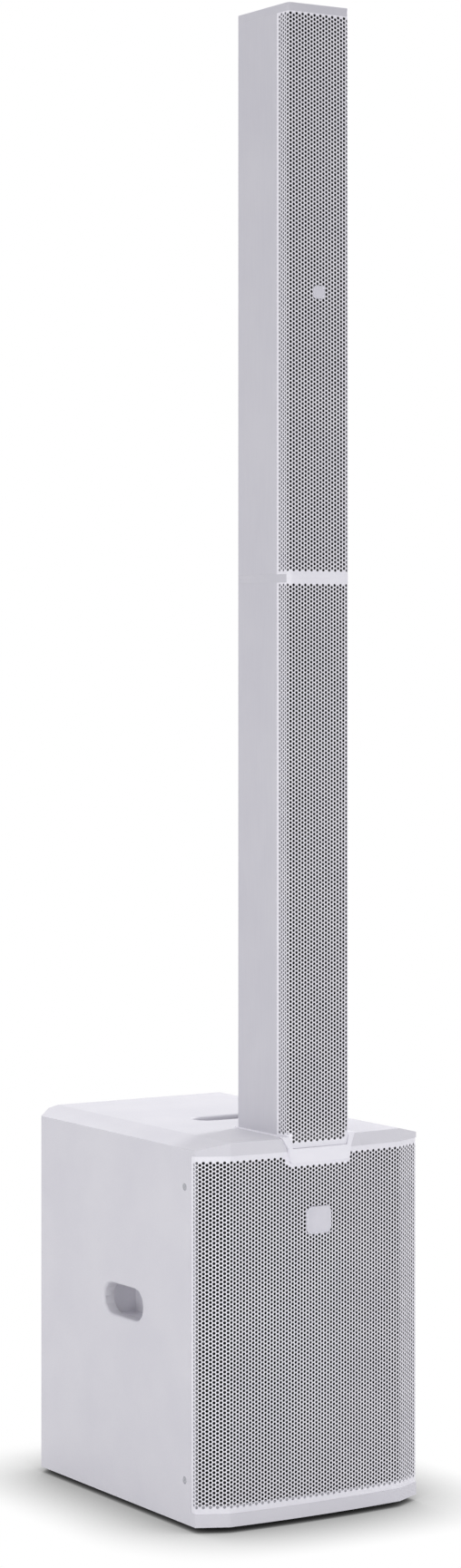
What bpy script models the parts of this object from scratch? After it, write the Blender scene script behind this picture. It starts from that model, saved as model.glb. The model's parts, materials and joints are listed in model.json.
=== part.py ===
"""A column PA system: a subwoofer box with a dock on top, and two line-array sections stacked in the dock.

Metres, +Z up. The front faces -Y, left and right are as seen from the front. The origin is on the floor,
under the middle of the whole object.
"""

import math

import bmesh
import bpy
from mathutils import Vector

# Clearances
SEAT_GAP = 0.0003
SLIDE_GAP = 0.0006

# Subwoofer box
SUB_WIDTH = 0.350
SUB_DEPTH = 0.458
SUB_HEIGHT = 0.500
WALL = 0.0175
FRONT_FLAT = 0.269
FRONT_BOW = 0.0055
FACET_DEPTH = 0.0206
SIDE_SETBACK = 0.032
REAR_CHAMFER = 0.026
TOP_BEVEL_WIDTH = 0.041
TOP_BEVEL_DROP = 0.010
EDGE_ROUNDING = 0.002
REAR_RIM = 0.033
REAR_RECESS = 0.022

# Feet
FOOT_HEIGHT = 0.008
FOOT_RADIUS = 0.017
FOOT_TIP_RADIUS = 0.0145
FOOT_INSET = 0.046

# Front of the box
BAFFLE_SETBACK = 0.038
BAFFLE_THICKNESS = 0.018
GRILLE_INSET = 0.0005
GRILLE_SHEET = 0.0015
FOAM_THICKNESS = 0.005

# Side screws
SCREW_INSET = 0.057
TOP_SCREW_INSET = 0.060
SCREW_HEAD_RADIUS = 0.0046
SCREW_HEAD_HEIGHT = 0.003
SCREW_SINK = 0.0012
SCREW_SHANK_RADIUS = 0.002
SCREW_LENGTH = 0.032

# Woofer
WOOFER_RADIUS = 0.131
WOOFER_MARGIN = 0.030
WOOFER_FLANGE = 0.005
WOOFER_LEDGE = 0.0125
BASKET_WALL = 0.003
BASKET_DEPTH = 0.072
BASKET_REAR_RADIUS = 0.078
BASKET_BORE = 0.040
BASKET_WINDOW = 0.046
BASKET_ARMS = 6
SURROUND_WIDTH = 0.0185
SURROUND_SHEET = 0.0015
CONE_RIM = 0.006
CONE_DEPTH = 0.054
CONE_SHEET = 0.002
DUST_CAP_RADIUS = 0.045
DUST_CAP_RISE = 0.014
COIL_RADIUS = 0.0262
COIL_FORMER = 0.001
COIL_REACH = 0.042
COIL_AIR = 0.0008
SPIDER_RADIUS = 0.068
SPIDER_SHEET = 0.001
SPIDER_WAVE = 0.0025
SPIDER_FOLDS = 8
TOP_PLATE_RADIUS = 0.066
TOP_PLATE_THICKNESS = 0.008
MAGNET_RADIUS = 0.078
MAGNET_BORE = 0.036
MAGNET_THICKNESS = 0.020
YOKE_RADIUS = 0.068
YOKE_THICKNESS = 0.008

# Ports
PORT_RADIUS = 0.034
PORT_WALL = 0.003
PORT_FLANGE = 0.007
PORT_FLANGE_THICKNESS = 0.002
PORT_LENGTH = 0.120
PORT_MARGIN = 0.012
PORT_SPREAD = 0.085

# Hand holes and the cups behind them
HANDLE_LENGTH = 0.104
HANDLE_WIDTH = 0.0425
HANDLE_SETBACK = 0.2077
HANDLE_HEIGHT = 0.2733
TOP_HANDLE_SETBACK = 0.224
CUP_DEPTH = 0.040
CUP_WALL = 0.003
CUP_ROOM = 0.006
CUP_FINGER_ROOM = 0.020

# Dock for the column
DOCK_PLATE = 0.0015
DOCK_MARGIN = 0.002
APRON_PROUD = 0.010
APRON_TOP_PROUD = 0.006
APRON_TOP_WIDTH = 0.115
APRON_WIDTH = 0.098
APRON_BOTTOM_WIDTH = 0.093
APRON_DROP = 0.034

# Spigot at the foot of each section, and its socket
SPIGOT_WIDTH = 0.060
SPIGOT_DEPTH = 0.040
SPIGOT_LENGTH = 0.040
SPIGOT_SETBACK = 0.086
SOCKET_WALL = 0.003
SOCKET_ROOM = 0.003
SOCKET_FLANGE = 0.012

# Column sections
COLUMN_WIDTH = 0.096
COLUMN_DEPTH = 0.1275
COLUMN_PROUD = 0.0065
COLUMN_CORNER = 0.005
LOWER_LENGTH = 0.7332
UPPER_LENGTH = 0.7564
CAP_THICKNESS = 0.005
TOP_CAP_THICKNESS = 0.011
HOUSING_WALL = 0.0025
COLUMN_GRILLE_SHEET = 0.0012
GRILLE_RETURN = 0.029
SKIRT_DROP = 0.0156
SKIRT_BOTTOM_WIDTH = 0.085
COLUMN_FOAM = 0.004
COLUMN_BAFFLE = 0.004
COLUMN_BAFFLE_INSET = 0.0015
DRIVER_RADIUS = 0.041
DRIVER_CUTOUT = 0.0365
DRIVER_FLANGE = 0.003
DRIVER_DEPTH = 0.040
DRIVER_MAGNET = 0.028
DRIVER_NECK = 0.024
DRIVER_CONE_RADIUS = 0.029
DRIVER_CONE_DROP = 0.010
DRIVER_DOME_RADIUS = 0.011
DRIVER_DOME_RISE = 0.006
HORN_THROAT = 0.012
HORN_DEPTH = 0.018
HORN_DOME_RISE = 0.004
DRIVERS_PER_SECTION = 4

# Amplifier on the back
PANEL_WIDTH = 0.240
PANEL_HEIGHT = 0.340
PANEL_THICKNESS = 0.003
PANEL_LAP = 0.0125
DISPLAY_WIDTH = 0.070
DISPLAY_HEIGHT = 0.030
DISPLAY_THICKNESS = 0.006
DISPLAY_LIP = 0.003
DISPLAY_RISE = 0.125
KNOB_RADIUS = 0.010
KNOB_TOP_RADIUS = 0.008
KNOB_EDGE = 0.001
KNOB_HEIGHT = 0.015
KNOB_SHAFT_RADIUS = 0.003
KNOB_SHAFT_LENGTH = 0.012
KNOB_SPREAD = 0.060
KNOB_RISE = 0.075
POINTER_WIDTH = 0.002
POINTER_LENGTH = 0.007
POINTER_HEIGHT = 0.001
JACK_FLANGE = 0.029
JACK_FLANGE_THICKNESS = 0.002
JACK_RADIUS = 0.012
JACK_LENGTH = 0.026
JACK_BORE = 0.0036
JACK_RISE = 0.020
INLET_WIDTH = 0.030
INLET_HEIGHT = 0.058
INLET_DEPTH = 0.028
INLET_LIP = 0.004
INLET_FLANGE_THICKNESS = 0.002
INLET_EDGE = 0.045
INLET_DROP = 0.110
MAINS_WIDTH = 0.024
MAINS_HEIGHT = 0.0165
MAINS_DEPTH = 0.018
MAINS_DROP = 0.014
ROCKER_WIDTH = 0.014
ROCKER_LENGTH = 0.021
ROCKER_THICKNESS = 0.009
ROCKER_RISE = 0.0135
ROCKER_ROOM = 0.0012
ROCKER_PROUD = 0.0015
ROCKER_TILT = math.radians(7)
SINK_WIDTH = 0.120
SINK_HEIGHT = 0.100
SINK_BASE = 0.006
SINK_FIN = 0.028
SINK_FIN_THICKNESS = 0.003
SINK_FINS = 9
SINK_OFFSET = -0.030
SINK_DROP = 0.095
BOARD_WIDTH = 0.180
BOARD_HEIGHT = 0.130
BOARD_THICKNESS = 0.0016
BOARD_STANDOFF = 0.036
BOARD_RISE = 0.070
STANDOFF_RADIUS = 0.003
STANDOFF_INSET = 0.008
CAPACITOR_RADIUS = 0.012
CAPACITOR_HEIGHT = 0.034
CAPACITOR_PITCH = 0.036
CAPACITORS = 3
TRANSFORMER_SIZE = 0.042

# Facets round each turned piece
WOOFER_STEPS = 32
PORT_STEPS = 24
DRIVER_STEPS = 16
SMALL_STEPS = 16
BOW_STEPS = 8
ROLL_STEPS = 6
DOME_STEPS = 5
FLARE_STEPS = 4

# Places that follow from the sizes
FRONT = -(SUB_DEPTH - APRON_PROUD) / 2
REAR = FRONT + SUB_DEPTH
SIDE = SUB_WIDTH / 2
SUB_BASE = FOOT_HEIGHT
SUB_TOP = FOOT_HEIGHT + SUB_HEIGHT
CHAMBER_BASE = SUB_BASE + WALL
CHAMBER_TOP = SUB_TOP - WALL
CHAMBER_SIDE = SIDE - WALL
BAFFLE_FRONT = FRONT + BAFFLE_SETBACK
BACK_BOARD = REAR - REAR_RECESS
SCREW_HEIGHTS = {"bottom": SUB_BASE + SCREW_INSET, "top": SUB_TOP - TOP_SCREW_INSET}
WOOFER_CENTRE = (0, BAFFLE_FRONT, CHAMBER_TOP - WOOFER_MARGIN - WOOFER_RADIUS)
BASKET_RADIUS = WOOFER_RADIUS - WOOFER_LEDGE
FLANGE_TOP = SEAT_GAP + WOOFER_FLANGE
BASKET_FLOOR = BASKET_WALL - BASKET_DEPTH
CONE_RADIUS = BASKET_RADIUS - BASKET_WALL - SURROUND_WIDTH
CONE_FLOOR = FLANGE_TOP - CONE_DEPTH
MOTOR_TOP = -BASKET_DEPTH - SEAT_GAP
MAGNET_TOP = MOTOR_TOP - TOP_PLATE_THICKNESS - SEAT_GAP
YOKE_TOP = MAGNET_TOP - MAGNET_THICKNESS - SEAT_GAP
PORT_HEIGHT = CHAMBER_BASE + PORT_MARGIN + PORT_RADIUS + PORT_WALL + PORT_FLANGE
DOCK_TOP = SUB_TOP + SEAT_GAP + DOCK_PLATE
COLUMN_BASE = DOCK_TOP + SEAT_GAP
COLUMN_JOINT = COLUMN_BASE + LOWER_LENGTH
UPPER_BASE = COLUMN_JOINT + SEAT_GAP
COLUMN_SIDE = COLUMN_WIDTH / 2
COLUMN_FRONT = FRONT - COLUMN_PROUD
COLUMN_REAR = COLUMN_FRONT + COLUMN_DEPTH
HOUSING_FRONT = COLUMN_FRONT + GRILLE_RETURN
COLUMN_BAFFLE_FRONT = HOUSING_FRONT + COLUMN_BAFFLE_INSET
SKIRT_BOTTOM = COLUMN_BASE - SKIRT_DROP
SKIRT_LEAN = (COLUMN_WIDTH - SKIRT_BOTTOM_WIDTH) / 2 / SKIRT_DROP
SKIRT_BACK = COLUMN_FRONT + COLUMN_GRILLE_SHEET + SEAT_GAP
APRON_BOTTOM = DOCK_TOP - APRON_DROP
APRON_SHELF = SKIRT_BOTTOM - SEAT_GAP
SPIGOT_CENTRE = FRONT + SPIGOT_SETBACK
SOCKET_DROP = SPIGOT_LENGTH + SOCKET_ROOM
PANEL_BACK = BACK_BOARD + SEAT_GAP
PANEL_FACE = PANEL_BACK + PANEL_THICKNESS
PANEL_CENTRE = (SUB_BASE + SUB_TOP) / 2
INLET_PLACE = PANEL_WIDTH / 2 - INLET_EDGE

# Reach of a cutter past what it cuts, and distances under which points are one
BEYOND = 0.05
WELD_DISTANCE = 0.000001
AXIS_MERGE = 0.00001
SMOOTH_BELOW = math.radians(40)

FACINGS = {
    "front": (math.pi / 2, 0, 0),
    "rear": (-math.pi / 2, 0, 0),
    "up": (0, 0, 0),
    "left": (0, -math.pi / 2, 0),
    "right": (0, math.pi / 2, 0),
}
PULLS = {"x": (math.pi / 2, 0, math.pi / 2), "y": (math.pi / 2, 0, 0), "z": (0, 0, 0)}

# Colour, roughness and metallic value of each finish
FINISHES = {
    "white_paint": ((0.72, 0.72, 0.75), 0.55, 0.0),
    "white_steel": ((0.74, 0.74, 0.77), 0.45, 0.0),
    "white_plastic": ((0.74, 0.73, 0.77), 0.40, 0.0),
    "grey_plastic": ((0.30, 0.30, 0.32), 0.50, 0.0),
    "black_plastic": ((0.02, 0.02, 0.02), 0.45, 0.0),
    "black_foam": ((0.01, 0.01, 0.01), 0.95, 0.0),
    "rubber": ((0.02, 0.02, 0.02), 0.80, 0.0),
    "plywood": ((0.30, 0.20, 0.11), 0.70, 0.0),
    "paper_cone": ((0.03, 0.03, 0.03), 0.85, 0.0),
    "spider_cloth": ((0.45, 0.30, 0.10), 0.90, 0.0),
    "steel": ((0.55, 0.55, 0.56), 0.35, 1.0),
    "ferrite": ((0.05, 0.05, 0.055), 0.60, 0.0),
    "aluminium": ((0.60, 0.60, 0.61), 0.40, 1.0),
    "black_panel": ((0.03, 0.03, 0.032), 0.50, 0.3),
    "display_glass": ((0.02, 0.025, 0.03), 0.10, 0.0),
    "circuit_board": ((0.03, 0.16, 0.07), 0.50, 0.0),
}


def new_collection(name):
    collection = bpy.data.collections.new(name)
    bpy.context.scene.collection.children.link(collection)
    return collection


for leftover in list(bpy.data.objects):
    bpy.data.objects.remove(leftover, do_unlink=True)
PARTS = new_collection("column_pa_system")
CUTTERS = new_collection("cutters")


def add_part(obj, finish):
    """Puts a finished piece in the parts collection, with a material of its own."""
    colour, roughness, metallic = FINISHES[finish]
    material = bpy.data.materials.new(f"{obj.name}_{finish}")
    material.use_nodes = True
    shader = material.node_tree.nodes["Principled BSDF"]
    shader.inputs["Base Color"].default_value = (*colour, 1)
    shader.inputs["Roughness"].default_value = roughness
    shader.inputs["Metallic"].default_value = metallic
    obj.data.materials.clear()
    obj.data.materials.append(material)
    PARTS.objects.link(obj)
    return obj


def combine(obj, tool, operation):
    """Cuts a piece with another one, or joins them, and puts the tool away."""
    modifier = obj.modifiers.new(f"{operation.lower()} {tool.name}", "BOOLEAN")
    modifier.operation = operation
    modifier.solver = "EXACT"
    modifier.object = tool
    if not tool.users_collection:
        CUTTERS.objects.link(tool)
        tool.hide_render = True
        tool.display_type = "WIRE"


def cut(obj, *tools):
    for tool in tools:
        combine(obj, tool, "DIFFERENCE")


def join(obj, *tools):
    for tool in tools:
        combine(obj, tool, "UNION")


def block(name, low, high):
    """A box between two opposite corners."""
    bm = bmesh.new()
    bmesh.ops.create_cube(bm, size=1)
    bmesh.ops.scale(bm, vec=Vector(high) - Vector(low), verts=bm.verts)
    mesh = bpy.data.meshes.new(name)
    bm.to_mesh(mesh)
    bm.free()
    obj = bpy.data.objects.new(name, mesh)
    obj.location = (Vector(low) + Vector(high)) / 2
    return obj


def prism(name, outline, low, high, pull="z"):
    """A filled outline pulled from low to high along an axis.

    The outline is (x, y) along z, (x, z) along y and (y, z) along x.
    """
    curve = bpy.data.curves.new(name, "CURVE")
    curve.dimensions = "2D"
    curve.fill_mode = "BOTH"
    curve.extrude = abs(high - low) / 2
    spline = curve.splines.new("POLY")
    spline.points.add(len(outline) - 1)
    for point, (across, along) in zip(spline.points, outline):
        point.co = (across, along, 0, 1)
    spline.use_cyclic_u = True
    drawn = bpy.data.objects.new(f"{name} outline", curve)
    bpy.context.scene.collection.objects.link(drawn)
    drawn.location["xyz".index(pull)] = (low + high) / 2
    drawn.rotation_euler = PULLS[pull]
    graph = bpy.context.evaluated_depsgraph_get()
    mesh = bpy.data.meshes.new_from_object(drawn.evaluated_get(graph))
    bm = bmesh.new()
    bm.from_mesh(mesh)
    bmesh.ops.remove_doubles(bm, verts=bm.verts, dist=WELD_DISTANCE)
    bmesh.ops.recalc_face_normals(bm, faces=bm.faces)
    bm.to_mesh(mesh)
    bm.free()
    mesh.shade_smooth()
    mesh.set_sharp_from_angle(angle=SMOOTH_BELOW)
    obj = bpy.data.objects.new(name, mesh)
    obj.location = drawn.location
    obj.rotation_euler = drawn.rotation_euler
    bpy.data.objects.remove(drawn)
    return obj


def turned(name, profile, place, facing, steps):
    """A profile of (radius, height) points turned about its axis, with heights towards the facing.

    A profile that starts and ends on the axis is left open there, and any other one is a ring.
    """
    ring = profile[0][0] > 0 or profile[-1][0] > 0
    pairs = zip(profile, profile[1:] + profile[:1])
    if sum(r0 * h1 - r1 * h0 for (r0, h0), (r1, h1) in pairs) > 0:
        profile = profile[::-1]
    edges = [(i, i + 1) for i in range(len(profile) - 1)]
    if ring:
        edges.append((len(profile) - 1, 0))
    mesh = bpy.data.meshes.new(name)
    mesh.from_pydata([(radius, 0, height) for radius, height in profile], edges, [])
    obj = bpy.data.objects.new(name, mesh)
    obj.location = place
    obj.rotation_euler = FACINGS[facing]
    screw = obj.modifiers.new("turn", "SCREW")
    screw.steps = screw.render_steps = steps
    screw.use_merge_vertices = True
    screw.merge_threshold = AXIS_MERGE
    return obj


def rod(name, radius, low, high, place, facing, steps):
    """A plain cylinder between two heights on its axis."""
    return turned(name, [(0, high), (radius, high), (radius, low), (0, low)], place, facing, steps)


def round_edges(obj, width, segments=2, above=math.radians(50)):
    bevel = obj.modifiers.new("rounded edges", "BEVEL")
    bevel.width = width
    bevel.segments = segments
    bevel.limit_method = "ANGLE"
    bevel.angle_limit = above


def arc(centre, radius, start, end, steps):
    """Points along an arc, with both ends, from angles in degrees."""
    angles = [math.radians(start + (end - start) * i / steps) for i in range(steps + 1)]
    return [(centre[0] + radius * math.cos(a), centre[1] + radius * math.sin(a)) for a in angles]


def rounded(path, radius, steps=3):
    """An open path with an arc in place of each inner corner."""
    points = [path[0]]
    for before, corner, after in zip(path, path[1:], path[2:]):
        corner = Vector(corner)
        back = (Vector(before) - corner).normalized()
        ahead = (Vector(after) - corner).normalized()
        half = back.angle(ahead) / 2
        centre = corner + (back + ahead).normalized() * radius / math.sin(half)
        start = corner + back * radius / math.tan(half) - centre
        end = corner + ahead * radius / math.tan(half) - centre
        for i in range(steps + 1):
            points.append(tuple(centre + start.slerp(end, i / steps) * radius))
    return points + [path[-1]]


def offset(path, distance):
    """An open path moved sideways to its left, with mitred corners."""
    points = [Vector(point) for point in path]
    ways = [(b - a).normalized() for a, b in zip(points, points[1:])]
    moved = []
    for i, point in enumerate(points):
        before = ways[max(i - 1, 0)]
        after = ways[min(i, len(ways) - 1)]
        normal = (Vector((-before.y, before.x)) + Vector((-after.y, after.x))).normalized()
        stretch = normal.dot(Vector((-before.y, before.x)))
        moved.append(tuple(point + normal * distance / stretch))
    return moved


def band(path, near, thickness):
    """The outline of a bent sheet that lies to the left of a path."""
    return offset(path, near) + offset(path, near + thickness)[::-1]


def mirrored(half, between=()):
    """A whole outline from its left half, with any points that come between the two halves."""
    return [*half, *between, *((-across, along) for across, along in half[::-1])]


def stadium(length, width, centre, steps=6):
    """A slot outline with round ends, long across."""
    across, along = centre
    reach = (length - width) / 2
    right = arc((across + reach, along), width / 2, -90, 90, steps)
    left = arc((across - reach, along), width / 2, 90, 270, steps)
    return right + left


def dome(radius, rise, base, steps):
    """Points of a ball's cap, from its top on the axis down to its rim."""
    ball = (radius**2 + rise**2) / (2 * rise)
    rim = math.degrees(math.acos(radius / ball))
    points = arc((0, base + rise - ball), ball, 90, rim, steps)
    return [(0, base + rise)] + points[1:]


def front_bow():
    """The gently bowed middle of the front in plan, from its left fold to its right one."""
    half = FRONT_FLAT / 2
    radius = (half**2 + FRONT_BOW**2) / (2 * FRONT_BOW)
    swing = math.degrees(math.asin(half / radius))
    return arc((0, FRONT - FRONT_BOW + radius), radius, 270 - swing, 270 + swing, BOW_STEPS)


def sub_front_path():
    """The front of the box in plan, from the left side wall round to the right one."""
    side = [(-SIDE, FRONT + SIDE_SETBACK - SEAT_GAP), (-SIDE, FRONT + FACET_DEPTH)]
    return mirrored(side, front_bow())


def apron_edge(room):
    """The right edge of the dock's apron seen from the front, run on past both of its ends."""
    shelf = Vector((APRON_WIDTH / 2, APRON_SHELF))
    above = shelf + 2 * (Vector((APRON_TOP_WIDTH / 2, DOCK_TOP)) - shelf)
    below = shelf + 2 * (Vector((APRON_BOTTOM_WIDTH / 2, APRON_BOTTOM)) - shelf)
    return [(point.x + room, point.y) for point in (above, shelf, below)]


def screw_profile(room):
    """The side screw from its head down, made larger by some room for its hole."""
    head = SCREW_HEAD_RADIUS + room
    shank = SCREW_SHANK_RADIUS + room
    under = -SCREW_SINK - SCREW_HEAD_HEIGHT - room
    tip = -SCREW_LENGTH - room
    top = BEYOND if room else -SCREW_SINK
    return [(0, top), (head, top), (head, under), (shank, under), (shank, tip), (0, tip)]


def side_screws():
    """The four screws. Returns the tools that cut their holes in the side walls and the baffle."""
    holes = []
    for facing, side in (("left", -SIDE), ("right", SIDE)):
        for level, height in SCREW_HEIGHTS.items():
            place = (side, BAFFLE_FRONT + BAFFLE_THICKNESS / 2, height)
            name = f"side_screw_{facing}_{level}"
            add_part(turned(name, screw_profile(0), place, facing, SMALL_STEPS), "steel")
            holes.append(turned(f"{name} hole", screw_profile(SEAT_GAP), place, facing, SMALL_STEPS))
    return holes


def socket_block(name, grow, low, high):
    """A block round the spigot in plan, grown by some room."""
    across = SPIGOT_WIDTH / 2 + grow
    along = SPIGOT_DEPTH / 2 + grow
    return block(name, (-across, SPIGOT_CENTRE - along, low), (across, SPIGOT_CENTRE + along, high))


def sub_cabinet(screw_holes):
    side_wall = [(-SIDE + REAR_CHAMFER, REAR), (-SIDE, REAR - REAR_CHAMFER), (-SIDE, FRONT + FACET_DEPTH)]
    cabinet = prism("sub_cabinet", mirrored(side_wall, front_bow()), SUB_BASE, SUB_TOP)
    round_edges(cabinet, EDGE_ROUNDING)
    for side in (-1, 1):
        over = BEYOND * TOP_BEVEL_DROP / TOP_BEVEL_WIDTH
        slope = [
            (side * (SIDE - TOP_BEVEL_WIDTH - BEYOND), SUB_TOP + over),
            (side * (SIDE + BEYOND), SUB_TOP - TOP_BEVEL_DROP - over),
            (side * (SIDE + BEYOND), SUB_TOP + BEYOND),
        ]
        cut(cabinet, prism(f"top slope {side}", slope, FRONT - BEYOND, REAR + BEYOND, "y"))
    inside = mirrored([
        (-SIDE - BEYOND, FRONT - BEYOND),
        (-SIDE - BEYOND, FRONT + SIDE_SETBACK),
        (-CHAMBER_SIDE, FRONT + SIDE_SETBACK),
        (-CHAMBER_SIDE, BACK_BOARD - WALL),
    ])
    recess_side = SIDE - REAR_RIM
    opening_side = PANEL_WIDTH / 2 - PANEL_LAP
    opening_half = PANEL_HEIGHT / 2 - PANEL_LAP
    side_slot = stadium(HANDLE_LENGTH, HANDLE_WIDTH, (FRONT + HANDLE_SETBACK, HANDLE_HEIGHT))
    top_slot = stadium(HANDLE_LENGTH, HANDLE_WIDTH, (0, FRONT + TOP_HANDLE_SETBACK))
    top_board = (CHAMBER_TOP - BEYOND, SUB_TOP + BEYOND)
    apron_seat = mirrored(apron_edge(SLIDE_GAP))
    cut(
        cabinet,
        prism("chamber", inside, CHAMBER_BASE, CHAMBER_TOP),
        prism("apron seat", apron_seat, FRONT - BEYOND, FRONT, "y"),
        block(
            "rear recess",
            (-recess_side, BACK_BOARD, SUB_BASE + REAR_RIM),
            (recess_side, REAR + BEYOND, SUB_TOP - REAR_RIM),
        ),
        block(
            "amplifier opening",
            (-opening_side, BACK_BOARD - WALL - BEYOND, PANEL_CENTRE - opening_half),
            (opening_side, BACK_BOARD + BEYOND, PANEL_CENTRE + opening_half),
        ),
        prism("side hand holes", side_slot, -SIDE - BEYOND, SIDE + BEYOND, "x"),
        prism("top hand hole", top_slot, *top_board),
        socket_block("dock hole", SLIDE_GAP + SOCKET_WALL + SEAT_GAP, *top_board),
        *screw_holes,
    )
    return add_part(cabinet, "white_paint")


def feet():
    across = SIDE - FOOT_INSET
    top = FOOT_HEIGHT - SEAT_GAP
    profile = [(0, top), (FOOT_RADIUS, top), (FOOT_RADIUS, top / 2), (FOOT_TIP_RADIUS, 0), (0, 0)]
    for end, depth in (("front", FRONT + FOOT_INSET), ("rear", REAR - FOOT_INSET)):
        for name, side in (("left", -across), ("right", across)):
            add_part(turned(f"foot_{end}_{name}", profile, (side, depth, 0), "up", SMALL_STEPS), "rubber")


def port_places():
    return {
        "left": (-PORT_SPREAD, BAFFLE_FRONT, PORT_HEIGHT),
        "right": (PORT_SPREAD, BAFFLE_FRONT, PORT_HEIGHT),
    }


def sub_baffle(screw_holes):
    side = CHAMBER_SIDE - SEAT_GAP
    low = (-side, BAFFLE_FRONT, CHAMBER_BASE + SEAT_GAP)
    high = (side, BAFFLE_FRONT + BAFFLE_THICKNESS, CHAMBER_TOP - SEAT_GAP)
    baffle = block("sub_baffle", low, high)
    through = (-BAFFLE_THICKNESS - BEYOND, BEYOND)
    cut(baffle, rod("woofer hole", BASKET_RADIUS + SEAT_GAP, *through, WOOFER_CENTRE, "front", WOOFER_STEPS))
    for name, place in port_places().items():
        hole = PORT_RADIUS + PORT_WALL + SEAT_GAP
        cut(baffle, rod(f"port hole {name}", hole, *through, place, "front", PORT_STEPS))
    cut(baffle, *screw_holes)
    return add_part(baffle, "plywood")


def ports():
    outer = PORT_RADIUS + PORT_WALL
    rim = outer + PORT_FLANGE
    top = SEAT_GAP + PORT_FLANGE_THICKNESS
    profile = [
        (rim, top),
        (rim, SEAT_GAP),
        (outer, SEAT_GAP),
        (outer, -PORT_LENGTH),
        (PORT_RADIUS, -PORT_LENGTH),
        (PORT_RADIUS, -PORT_WALL),
        (PORT_RADIUS + PORT_WALL, top),
    ]
    for name, place in port_places().items():
        add_part(turned(f"port_tube_{name}", profile, place, "front", PORT_STEPS), "black_plastic")


def apron_width(height):
    """Width of the dock's apron at a height below its shelf."""
    rise = (height - APRON_BOTTOM) / (APRON_SHELF - APRON_BOTTOM)
    return APRON_BOTTOM_WIDTH + (APRON_WIDTH - APRON_BOTTOM_WIDTH) * rise


def sub_grille():
    """The folded steel sheet round the front, and the foam behind it."""
    path = sub_front_path()
    low, high = CHAMBER_BASE + SEAT_GAP, CHAMBER_TOP - SEAT_GAP
    sheet = prism("sub_grille", band(path, GRILLE_INSET, GRILLE_SHEET), low, high)
    top_side = apron_width(high) / 2 + SLIDE_GAP
    notch = mirrored([
        (-top_side, high + BEYOND),
        (-top_side, high),
        (-APRON_BOTTOM_WIDTH / 2 - SLIDE_GAP, APRON_BOTTOM - SLIDE_GAP),
    ])
    cut(sheet, prism("apron notch", notch, FRONT - BEYOND, FRONT + BEYOND, "y"))
    add_part(sheet, "white_steel")
    foam_near = GRILLE_INSET + GRILLE_SHEET + SEAT_GAP
    foam = prism("sub_grille_foam", band(path, foam_near, FOAM_THICKNESS), low, high)
    return add_part(foam, "black_foam")


def woofer_part(name, profile, finish):
    return add_part(turned(name, profile, WOOFER_CENTRE, "front", WOOFER_STEPS), finish)


def woofer_basket():
    basket = turned(
        "woofer_basket",
        [
            (WOOFER_RADIUS, FLANGE_TOP),
            (WOOFER_RADIUS, SEAT_GAP),
            (BASKET_RADIUS, SEAT_GAP),
            (BASKET_RADIUS, -BAFFLE_THICKNESS),
            (BASKET_REAR_RADIUS, -BASKET_DEPTH),
            (BASKET_BORE, -BASKET_DEPTH),
            (BASKET_BORE, BASKET_FLOOR),
            (BASKET_REAR_RADIUS - BASKET_WALL, BASKET_FLOOR),
            (BASKET_RADIUS - BASKET_WALL, -BAFFLE_THICKNESS),
            (BASKET_RADIUS - BASKET_WALL, FLANGE_TOP),
        ],
        WOOFER_CENTRE,
        "front",
        WOOFER_STEPS,
    )
    _, y, z = WOOFER_CENTRE
    near = y + BAFFLE_THICKNESS + BASKET_WALL
    far = y + BASKET_DEPTH - 2 * BASKET_WALL
    half = BASKET_WINDOW / 2
    for pair in range(BASKET_ARMS // 2):
        low, high = (-WOOFER_RADIUS, near, z - half), (WOOFER_RADIUS, far, z + half)
        windows = block(f"basket windows {pair}", low, high)
        windows.rotation_euler.y = (pair + 0.5) * 2 * math.pi / BASKET_ARMS
        cut(basket, windows)
    return add_part(basket, "black_panel")


def woofer_surround():
    """A half roll from a lip on the basket's flange to a lip on the cone."""
    seat = FLANGE_TOP + SEAT_GAP
    inner, outer = CONE_RADIUS, CONE_RADIUS + SURROUND_WIDTH
    middle = ((inner + outer) / 2, seat)
    roll = (outer - inner) / 2
    lean = math.degrees(math.asin(SURROUND_SHEET / roll))
    under = arc(middle, roll - SURROUND_SHEET, 0, 180, ROLL_STEPS)
    over = arc(middle, roll, 180 - lean, lean, ROLL_STEPS)
    lips = [(outer + CONE_RIM, seat + SURROUND_SHEET), (outer + CONE_RIM, seat)]
    inner_lip = [(inner - CONE_RIM, seat), (inner - CONE_RIM, seat + SURROUND_SHEET)]
    return woofer_part("woofer_surround", lips + under + inner_lip + over, "rubber")


def cone_height(radius):
    """Height of the cone's front face at a radius."""
    inner = COIL_RADIUS + SEAT_GAP
    share = (radius - inner) / (CONE_RADIUS - CONE_RIM - inner)
    return CONE_FLOOR + 2 * CONE_SHEET + (FLANGE_TOP - CONE_FLOOR - 2 * CONE_SHEET) * share


def woofer_cone():
    inner = COIL_RADIUS + SEAT_GAP
    profile = [
        (CONE_RADIUS, FLANGE_TOP),
        (CONE_RADIUS, FLANGE_TOP - CONE_SHEET),
        (inner + CONE_SHEET, CONE_FLOOR),
        (inner, CONE_FLOOR),
        (inner, cone_height(inner)),
        (CONE_RADIUS - CONE_RIM, FLANGE_TOP),
    ]
    return woofer_part("woofer_cone", profile, "paper_cone")


def woofer_dust_cap():
    edge = cone_height(DUST_CAP_RADIUS) + SLIDE_GAP
    over = dome(DUST_CAP_RADIUS, DUST_CAP_RISE, edge, DOME_STEPS)
    under = dome(DUST_CAP_RADIUS - CONE_SHEET, DUST_CAP_RISE - CONE_SHEET, edge, DOME_STEPS)
    return woofer_part("woofer_dust_cap", over + under[::-1], "paper_cone")


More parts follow.
